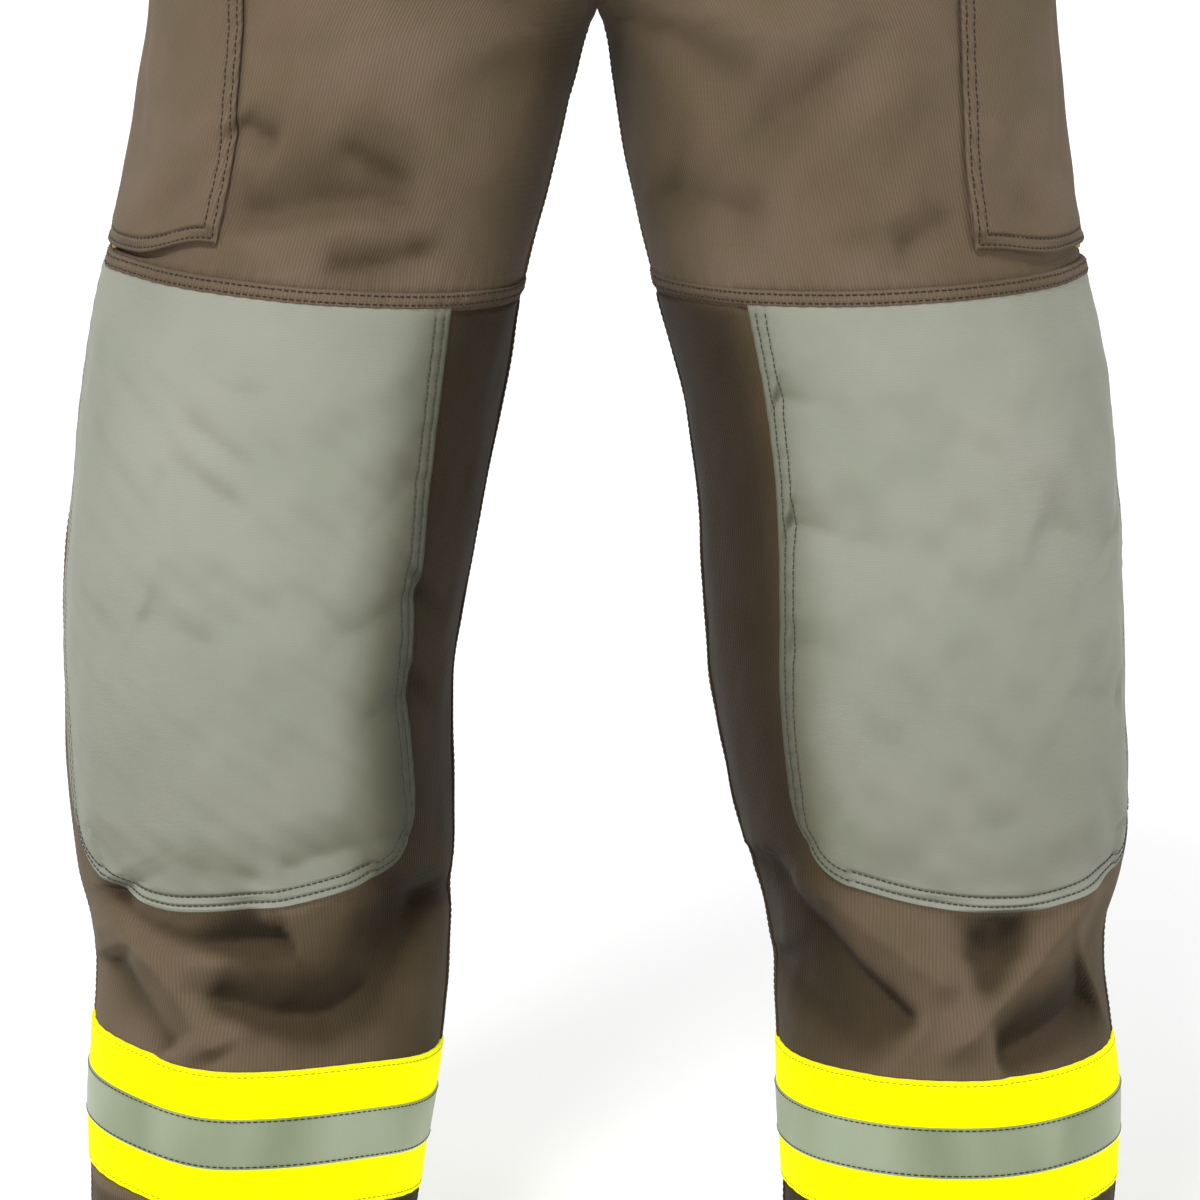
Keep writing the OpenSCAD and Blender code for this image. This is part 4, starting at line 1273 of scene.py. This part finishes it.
def pocket_fullness(u, z):
    """How far the pocket's face stands off the leg."""
    inside = np.clip(u, 0, 1)
    rise = np.clip((z - POCKET_LOW) / (POCKET_HIGH - POCKET_LOW), 0, 1)
    full = np.sin(np.pi / 2 * np.clip(2.2 * rise, 0, 1))
    return POCKET_EDGE + (FULLNESS * full + 3.4 * (1 - full)) * np.sin(np.pi * inside) ** 0.8


def edge_ridges(distance, rows=POCKET_ROWS, depth=0.6):
    """A turned-in edge: rounded over at the end and drawn in along its rows of stitches."""
    ridge = -1.0 * (1 - smooth(0, 1.4, distance))
    return ridge + sum(-depth * bell(distance, r, 0.9) for r in rows)


def pocket_distance(u, z):
    """Distance from the sewn edges of the pocket's face, in mm."""
    across = np.minimum(u, 1 - u) * POCKET_WIDTH
    return np.minimum(across, z - POCKET_LOW)


def pocket_lift(a, z, u, v):
    d = pocket_distance(u, z)
    low = z - POCKET_LOW
    sag = 1.6 * np.sin(u * 19 + 2) * bell(low, 16, 14) * smooth(0, 6, low)
    dents = -1.6 * bell(u, 0.13, 0.045) * bell(low, 30, 26)
    dents -= 2.4 * bell(u, 0.3 + low / 900, 0.05) * smooth(10, 60, low) * (1 - smooth(120, 200, low))
    mouth = edge_ridges(POCKET_HIGH - z, MOUTH_ROWS)
    tug = 0.45 * np.sin(z * 2 * np.pi / 13 + 2 * np.sin(z / 23)) * np.exp(-np.abs(d - 4) / 5)
    return pocket_fullness(u, z) + 1.6 + edge_ridges(d) + mouth + sag + dents + tug


def make_pocket(side):
    angle = pocket_angle(side)
    insets = [r / POCKET_WIDTH for r in POCKET_ROWS]
    us = spaced(0, 1, 0.012, insets + [1 - i for i in insets], 0.6 / POCKET_WIDTH, 3 / POCKET_WIDTH)
    vs = spaced(POCKET_LOW, POCKET_HIGH, 3.5,
                [POCKET_LOW + r for r in POCKET_ROWS] + [POCKET_HIGH - r for r in MOUTH_ROWS])
    face = cloth(f"{side}_pocket_front", side, us, vs, pocket_lift, 1.4, SHELL, angle=angle)
    as_sheet(settle(face, ROOT, f"{side}_pocket_face"))
    parts = []
    for r, inset in zip(POCKET_ROWS, insets):
        z = np.linspace(POCKET_HIGH - 1, POCKET_LOW + r, 300)
        parts += [sewn_row(side, u, z, angle, pocket_lift) for u in (inset, 1 - inset)]
        parts.append(sewn_row(side, np.linspace(inset, 1 - inset, 300), POCKET_LOW + r, angle, pocket_lift))
    for r in MOUTH_ROWS:
        parts.append(sewn_row(side, np.linspace(0.02, 0.98, 300), POCKET_HIGH - r, angle, pocket_lift))
    settle(joined(f"{side}_pocket_stitching", parts), ROOT)
    make_gusset(side, angle)


def make_gusset(side, angle):
    """A pleated strip between the pocket's face and the leg, along three edges."""
    def upright_lift(a, z, u, v):
        return 1.1 + 1.1 * np.abs(np.sin(np.minimum(u, 1 - u) * 62))

    def bottom_lift(a, z, u, v):
        return 1.1 + (1.1 + 3 * np.sin(np.pi * u)) * np.abs(np.sin((v - POCKET_LOW) * 0.24))

    upright = spaced(POCKET_LOW + 1, POCKET_HIGH - 2, 8.0)
    bottom = np.linspace(POCKET_LOW + 1, POCKET_LOW + 14, 8)
    parts = [cloth("part", side, np.linspace(*ends, count), vs, lift, 0.9, SHELL, angle=angle)
             for ends, count, vs, lift in (((0.002, 0.05), 12, upright, upright_lift),
                                           ((0.95, 0.998), 12, upright, upright_lift),
                                           ((0.05, 0.95), 60, bottom, bottom_lift))]
    gusset = joined(f"{side}_pocket_gusset", parts)
    settle(gusset, ROOT, f"{side}_pocket_bellows")
    as_sheet(gusset)


def flap_lift(side):
    def lift(a, z, u, v):
        off = smooth(0, 26, FLAP_HIGH - z)
        d = np.minimum(np.minimum(u, 1 - u) * POCKET_WIDTH, z - FLAP_LOW)
        body = pocket_fullness(u, np.minimum(z, POCKET_HIGH)) + 1.6 + 4.6
        wave = 0.7 * np.sin(u * 11 + SIGN[side]) * smooth(0, 40, FLAP_HIGH - z)
        top_rows = sum(-0.5 * bell(FLAP_HIGH - z, r, 0.9) for r in FLAP_TOP_ROWS)
        return 3.4 * (1 - off) + (body + wave + 1.4) * off + edge_ridges(d, FLAP_ROWS) + top_rows
    return lift


def fold_up(piece, side, node=None):
    """A piece of the flap: hides its CAD node, if any, and bakes its transform in place."""
    declare(node)
    cy = oval(side, FLAP_HIGH)[2]
    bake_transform(piece)
    return piece


def make_flap(side):
    angle = pocket_angle(side)
    lift = flap_lift(side)
    # the flap reaches a little past the pocket on both sides
    first, last = -FLAP_OVER, 1 + FLAP_OVER
    edges = [r / POCKET_WIDTH for r in FLAP_ROWS]
    us = spaced(first, last, 0.014, [first + e for e in edges] + [last - e for e in edges],
                0.6 / POCKET_WIDTH, 3 / POCKET_WIDTH)
    vs = spaced(FLAP_LOW, FLAP_HIGH, 3.0,
                [FLAP_LOW + r for r in FLAP_ROWS] + [FLAP_HIGH - r for r in FLAP_TOP_ROWS])

    def shifted(a, z, u, v):
        return lift(a, z, (u + FLAP_OVER) / (1 + 2 * FLAP_OVER), v)

    flap = cloth(f"{side}_pocket_flap_cloth", side, us, vs, shifted, 2.2, SHELL, angle=angle)
    as_sheet(fold_up(flap, side, f"{side}_pocket_flap"))
    parts = []
    for r, edge in zip(FLAP_ROWS, edges):
        z = np.linspace(FLAP_HIGH - 12, FLAP_LOW + r, 120)
        parts += [sewn_row(side, u, z, angle, shifted) for u in (first + edge, last - edge)]
        u = np.linspace(first + edge, last - edge, 300)
        parts.append(sewn_row(side, u, FLAP_LOW + r, angle, shifted))
    for r in FLAP_TOP_ROWS:
        parts.append(sewn_row(side, np.linspace(-0.015, 1.015, 300), FLAP_HIGH - r, angle, shifted))
    fold_up(joined(f"{side}_flap_stitching", parts), side)
    # the hook strip inside the flap, and the pull tab
    low, high = cad_range(f"{side}_flap_hook_strip", 2)
    strip = cloth(f"{side}_flap_hooks", side, np.linspace(*STRIP_ENDS, 60), np.linspace(low, high, 12),
                  lambda a, z, u, v: shifted(a, z, u, v) - 2.3, 0.9, FUZZ, angle=angle)
    as_sheet(fold_up(strip, side, f"{side}_flap_hook_strip"))
    low, high = cad_range(f"{side}_flap_pull_tab", 2)
    start, end = 0.44, 0.56

    def tab_lift(a, z, u, v):
        rounded = 0.6 * (1 - smooth(0, 0.006, np.minimum(u - start, end - u)))
        return shifted(a, np.maximum(z, FLAP_LOW + 4), u, v) + 1.7 - rounded

    tab = cloth(f"{side}_flap_tab", side, edged(start, end, 0.003, 9), np.linspace(low, high, 20),
                tab_lift, 1.5, WEBBING, angle=angle)
    as_sheet(fold_up(tab, side, f"{side}_flap_pull_tab"))


def make_loop_strips():
    low, high = cad_range("pocket_loop_strips", 2)
    parts = [cloth("part", side, np.linspace(*STRIP_ENDS, 60), np.linspace(low, high, 14),
                   lambda a, z, u, v: pocket_lift(a, z, u, v) + 1.1, 0.9, FUZZ, angle=pocket_angle(side))
             for side in SIDES]
    strips = joined("pocket_loops", parts)
    settle(strips, ROOT, "pocket_loop_strips")
    as_sheet(strips)


# ---------- waist ----------

def band_height(side):
    def height(u, v):
        return waist_top(real_angle(side, u, WAIST_FRONT)) - BAND_WIDTH * (1 - v)
    return height


def band_lift(a, z, u, v):
    d = np.minimum(v, 1 - v) * BAND_WIDTH
    return 2.0 + edge_ridges(d, BAND_ROWS, 0.5)


def make_waistband():
    shares = [r / BAND_WIDTH for r in BAND_ROWS]
    shares = [v for share in shares for v in (share, 1 - share)]
    vs = spaced(0, 1, 0.06, shares, 0.6 / BAND_WIDTH, 2.4 / BAND_WIDTH)
    for name, ends, sides in (("left_front_waistband", (-90, 90), (LEFT,)),
                              ("right_front_waistband", (-90, 90), (RIGHT,)),
                              ("back_waistband", (90, 270), SIDES)):
        bands, rows = [], []
        for side in sides:
            height = band_height(side)
            bands.append(cloth("part", side, np.linspace(*ends, 120), vs, band_lift, 4.6, SHELL,
                               height=height))
            a = np.linspace(ends[0] + 1, ends[1] - 1, 400)
            for v in shares:
                v = np.full_like(a, v)
                z = height(a, v)
                rows.append(stitches("row", side, a, z, band_lift(a, z, a, v) + 0.12, BROWN_THREAD))
        band = joined(f"{name}_cloth", bands) if len(bands) > 1 else bands[0]
        band.name = f"{name}_cloth"
        settle(band, ROOT, name)
        as_sheet(band)
        settle(joined(f"{name}_stitching", rows), ROOT)


def strip_mesh(name, centres, outs, widths, width, thick, material):
    """Webbing: a band along centres (mm in the row's frame), facing outs, its width along widths."""
    # one face with a rounded edge, then the other: shares of the width and of the thickness
    half = [(-0.5, 0.3), (-0.46, 0.5), (-0.25, 0.5), (0, 0.5), (0.25, 0.5), (0.46, 0.5), (0.5, 0.3)]
    profile = [(-0.5, -0.3), *half, *[(-w, -t) for w, t in half[:-1]]]
    centres, outs, widths = np.array(centres, float), np.array(outs, float), np.array(widths, float)
    ring = np.stack([centres + widths * w * width + outs * t * thick for w, t in profile], 1)
    rows, cols = ring.shape[:2]
    run = lengths(centres)
    across = np.tile([w * width for w, _ in profile], (rows, 1))
    uv = np.stack([across, np.repeat(run[:, None], cols, 1)], -1) * MM
    faces = grid_faces(rows, cols, True)
    faces += [list(range(cols - 1, -1, -1)), list(range((rows - 1) * cols, rows * cols))]
    obj = new_mesh(name, ring * MM, faces, uv, [material])
    work = bmesh.new()
    work.from_mesh(obj.data)
    bmesh.ops.recalc_face_normals(work, faces=work.faces)
    work.to_mesh(obj.data)
    work.free()
    return obj


def make_hanging_loop():
    low, high = box_mm("hanging_loop")
    radius = (high[0] - low[0]) / 2
    width = 8.0
    middle = (high[1] + low[1]) / 2
    arch = high[2] - radius
    r = radius - width / 2
    # up one leg, over the arch and down the other, with the webbing's width pointing inwards
    path = [(-r, middle, z) for z in np.linspace(low[2] + 0.5, arch, 14)[:-1]]
    path += [(r * math.cos(t), middle, arch + r * math.sin(t)) for t in np.radians(np.linspace(180, 0, 40))]
    inward = [(1, 0, 0)] * 13 + [(-math.cos(t), 0, -math.sin(t)) for t in np.radians(np.linspace(180, 0, 40))]
    path += [(r, middle, z) for z in np.linspace(arch, low[2] + 0.5, 14)[1:]]
    inward += [(-1, 0, 0)] * 13
    outs = [(0, 1, 0)] * len(path)
    loop = strip_mesh("hanging_loop_webbing", path, outs, inward, width, 1.7, WEBBING)
    settle(loop, ROOT, "hanging_loop")
    as_sheet(loop)


def joint_named(name):
    """A joint of the record."""
    return next(j for j in frame["record"]["behaviour"]["joints"] if j["name"] == name)


# How far off the band the strap may lie, and how much of any wider gap is taken up. The rest
# leaves room for the band as the strap slides.
STRAP_CLEARANCE = 3.0
STRAP_PULL = 0.6


def band_reach(side, centre, axis, outward, forward, turns):
    """How far the waistband's outside is from the strap's centre, in each direction."""
    flat = []
    for node in (f"{side}_front_waistband", "back_waistband"):
        points = [v.co / MM - centre for v in frame["nodes"][node].data.vertices]
        flat += [p - axis * p.dot(axis) for p in points]
    angle = np.array([math.atan2(f.dot(forward), f.dot(outward)) for f in flat])
    length = np.array([f.length for f in flat])
    reach = []
    for t in turns:
        near = np.abs((angle - t + math.pi) % (2 * math.pi) - math.pi) < 0.08
        reach.append(length[near].max() if near.any() else 0.0)
    return np.polyval(np.polyfit(turns, reach, 4), turns)


def make_straps():
    for side in SIDES:
        joint = joint_named(f"{side}_strap_slide")
        centre = Vector(joint["pos_m"]) / MM
        axis = Vector(joint["axis"]).normalized() * SIGN[side]
        node = frame["nodes"][f"{side}_waist_strap"]
        points = [v.co / MM - centre for v in node.data.vertices]
        along = [p.dot(axis) for p in points]
        flat = [p - axis * p.dot(axis) for p in points]
        radius = sum(f.length for f in flat) / len(flat)
        forward = axis.cross(Vector((1, 0, 0))).normalized()
        outward = forward.cross(axis).normalized()
        turns = [math.atan2(f.dot(forward), f.dot(outward)) for f in flat]
        if side == RIGHT:
            turns = [t if t > 0 else t + 2 * math.pi for t in turns]
        level = (max(along) + min(along)) / 2
        path, outs, ups = [], [], []
        steps = np.linspace(min(turns), max(turns), 60)
        for t, reach in zip(steps, band_reach(side, centre, axis, outward, forward, steps)):
            out = outward * math.cos(t) + forward * math.sin(t)
            gap = max(0.0, radius - reach - STRAP_CLEARANCE)
            path.append(centre + axis * level + out * (radius - STRAP_PULL * gap))
            outs.append(out)
            ups.append(axis)
        strap = strip_mesh(f"{side}_waist_webbing", path, outs, ups, max(along) - min(along), 1.9, WEBBING)
        settle(strap, f"{side}_strap", f"{side}_waist_strap")
        as_sheet(strap)


def make_fly():
    low, high = box_mm("fly_flap")
    hinge_y, crest_y = high[1], low[1]
    cloth_thick = 2.4
    crown = hinge_y - crest_y - cloth_thick
    width = high[0] - low[0]
    left_edge, bottom = low[0], low[2]
    xs = spaced(0, width, 1.5, [3, 9, width - 4], 0.6, 1.8)
    zs = spaced(bottom, high[2], 3.0, [bottom + 3])
    x, z = np.meshgrid(xs, zs)

    def bulge(x):
        """How far the flap arches over the zip."""
        return crown * (1 - np.abs(2 * x / width - 1) ** 2.6)

    def front_of(x, z):
        ridges = edge_ridges(np.minimum(x, z - bottom), MOUTH_ROWS, 0.4)
        wave = 0.4 * np.sin(z / 16) * np.sin(np.pi * x / width)
        return hinge_y - cloth_thick - bulge(x) - ridges - wave

    front = np.stack([x + low[0], front_of(x, z), z], -1)
    back = front + np.array([0, cloth_thick - 0.2, 0])
    back[..., 1] = np.minimum(back[..., 1], hinge_y)
    front[..., 2] -= HEM
    back[..., 2] -= HEM
    uv = np.stack([x, z], -1)
    flap = sheet_mesh("fly_flap_cloth", LEFT, front, back, uv, [SHELL])
    parts = []
    for r in MOUTH_ROWS:
        line_z = np.linspace(high[2] - 2, bottom + r, 200)
        run_x = np.linspace(r, width - 3, 80)
        px = np.concatenate([np.full_like(line_z, r), run_x])
        pz = np.concatenate([line_z, np.full_like(run_x, bottom + r)])
        line = np.stack([px + left_edge, front_of(px, pz) - 0.1, pz], -1)
        parts.append(free_stitches("row", line, (0, -1, 0), BROWN_THREAD))
    thread = joined("fly_stitching", parts)
    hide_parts("fly_flap")
    for piece in (flap, thread):
        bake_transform(piece)
    as_sheet(flap)
    # hook strip
    low, high = box_mm("fly_hook_strip")
    x, z = np.meshgrid(np.linspace(low[0], high[0], 10), np.linspace(low[2], high[2], 40))
    y = hinge_y - bulge(x - left_edge) + 0.2
    front = np.stack([x, y, z - HEM], -1)
    back = front + np.array([0, 0.8, 0])
    hooks = sheet_mesh("fly_hooks", LEFT, front, back, np.stack([x, z], -1), [FUZZ])
    settle(hooks, "fly", "fly_hook_strip")
    as_sheet(hooks)


def free_stitches(name, points, out, material, pitch=3.4, length=2.5, thick=0.42):
    """Stitches along points given in mm from the frame's origin, on a face that points along out."""
    points = np.array(points, float)
    run = lengths(points)
    at = (np.arange(int(run[-1] / pitch)) + 0.5) * pitch
    centre = sample(points, run, at)
    ahead = sample(points, run, at + 0.5) - centre
    ahead /= np.linalg.norm(ahead, axis=1)[:, None] + 1e-9
    return bars(name, centre, ahead, np.array(out, float), length, thick, material)


def make_zip_tapes():
    low, high = box_mm("zip_tapes")
    inner = 2.1
    width = high[0] - inner
    middle = (low[1] + high[1]) / 2
    parts = []
    for sign in (-1, 1):
        x = sign * (inner + width / 2)
        zs = np.linspace(low[2] + 0.3, high[2] - 0.3, 50)
        tape = strip_mesh("part", [(x, middle, z) for z in zs], [(0, -1, 0)] * 50, [(sign, 0, 0)] * 50,
                          width, 0.9, WEBBING)
        parts.append(tape)
    tapes = joined("zip_tape_webbing", parts)
    settle(tapes, ROOT, "zip_tapes")
    as_sheet(tapes)
    rows = []
    for sign in (-1, 1):
        zs = np.linspace(low[2] + 2, high[2] - 2, 60)
        line = [(sign * (high[0] - 2.5), low[1] - 0.1, z) for z in zs]
        rows.append(free_stitches("row", line, (0, -1, 0), BLACK_THREAD))
    settle(joined("zip_tape_stitching", rows), ROOT)


def make_dee_tab():
    low, high = box_mm("dee_tab")
    wire = 1.5
    bar_x, bar_y = [value / MM for value in joint_named("dee_hinge")["pos_m"][:2]]
    thick = 1.1
    r = wire + 0.15 + thick / 2
    back_y = high[1] - thick / 2
    path = [(x, back_y) for x in np.linspace(high[0] - 0.5, bar_x + 4, 8)]
    path += [(bar_x + r * math.cos(t), bar_y + r * math.sin(t)) for t in np.radians(np.linspace(60, 300, 24))]
    path += [(x, back_y - thick - 0.1) for x in np.linspace(bar_x + 4, high[0] - 0.5, 8)]
    path = np.array(path)
    flat = np.gradient(path, axis=0)
    flat /= np.linalg.norm(flat, axis=1)[:, None]
    outs = [(-f[1], f[0], 0) for f in flat]
    level = (low[2] + high[2]) / 2
    tab = strip_mesh("dee_tab_webbing", [(p[0], p[1], level) for p in path], outs, [(0, 0, 1)] * len(path),
                     high[2] - low[2] - 0.4, thick, WEBBING)
    settle(tab, ROOT, "dee_tab")
    as_sheet(tab)


def centre_seams():
    """The seams at the front and back middle, from the crotch to the fly and to the waistband."""
    for name, edge, top in (("front", -88.2, 770), ("back", 268.2, WAIST_BACK - BAND_WIDTH - 4)):
        parts = []
        for side in SIDES:
            def angle_of(u, z):
                _, a, _, b = oval(side, z)
                shift = np.degrees(u / ((a + b) / 2)) * (1 if name == "front" else -1)
                return seam_angle(side, real_angle(side, edge, z) + shift, z)
            z = np.linspace(684, top, 160)
            for u in (2.0, 8.0):
                parts.append(stitches("row", side, angle_of(u, z), z, 0.15, BROWN_THREAD))
        settle(joined(f"{name}_middle_stitching", parts), ROOT)


# ---------- camera, light, floor ----------

CAMERA_BACK = 2.6
CAMERA_ABOVE_HEM = 0.88
CAMERA_PITCH = 10.885
LENS = 156.67
SENSOR = 36


def make_camera():
    data = bpy.data.cameras.new("camera")
    data.lens = LENS
    data.sensor_width = SENSOR
    data.clip_end = 100
    camera = bpy.data.objects.new("camera", data)
    camera.location = (0.0015, -CAMERA_BACK, HEM * MM + CAMERA_ABOVE_HEM)
    camera.rotation_euler = (math.radians(90 - CAMERA_PITCH), 0, 0)
    bpy.context.scene.collection.objects.link(camera)
    bpy.context.scene.camera = camera


def area_light(name, place_at, aim, size, power, colour=(1, 1, 1)):
    data = bpy.data.lights.new(name, "AREA")
    data.shape = "DISK"
    data.size = size
    data.energy = power
    data.color = colour
    light = bpy.data.objects.new(name, data)
    light.location = place_at
    light.rotation_euler = (Vector(aim) - Vector(place_at)).to_track_quat("-Z", "Y").to_euler()
    bpy.context.scene.collection.objects.link(light)
    return light


def make_stage():
    size = 60.0
    floor_z = HEM * MM - 0.004
    mesh = bpy.data.meshes.new("floor")
    corners = [(-size, -size), (size, -size), (size, size), (-size, size)]
    mesh.from_pydata([(x, y, floor_z) for x, y in corners], [], [(0, 1, 2, 3)])
    floor = bpy.data.objects.new("floor", mesh)
    bpy.context.scene.collection.objects.link(floor)
    n = Nodes("floor", rough=0.9, specular=0.1)
    n.colour((0.95, 0.95, 0.95, 1))
    floor.data.materials.append(n.mat)
    world = bpy.data.worlds.new("studio")
    world.use_nodes = True
    sky = world.node_tree.nodes["Background"]
    sky.inputs["Color"].default_value = (1, 1, 1, 1)
    sky.inputs["Strength"].default_value = 0.12
    bpy.context.scene.world = world
    middle = (0, 0, -0.55)
    area_light("key", (-0.7, -2.3, 1.9), middle, 1.0, 82)
    area_light("side_left", (-2.7, -1.1, 0.2), middle, 1.4, 15)
    area_light("side_right", (2.7, -1.1, 0.2), middle, 1.4, 19)
    ceiling = area_light("ceiling", (0, 7.2, 5.0), (0, 7.2, 0), 13, 1150)
    ceiling.data.shape = "SQUARE"
    bpy.context.scene.view_settings.view_transform = "Standard"


make_camera()
make_stage()
for side in SIDES:
    make_thigh(side)
    make_knee(side)
    make_shin(side)
    make_patch(side)
    make_knee_seam(side)
    make_upright_seams(side)
    make_trim(side)
    make_binding(side)
    make_pad(side)
    make_pocket(side)
    make_flap(side)
make_linings()
make_loop_strips()
make_waistband()
make_hanging_loop()
make_straps()
make_fly()
make_zip_tapes()
make_dee_tab()
centre_seams()

METALS = {"steel": STEEL, "brass": BRASS}
for part in frame["record"]["subparts"]:
    if part["material_slot"] in METALS:
        mesh = frame["nodes"][part["node"]].data
        mesh.materials.clear()
        mesh.materials.append(METALS[part["material_slot"]])
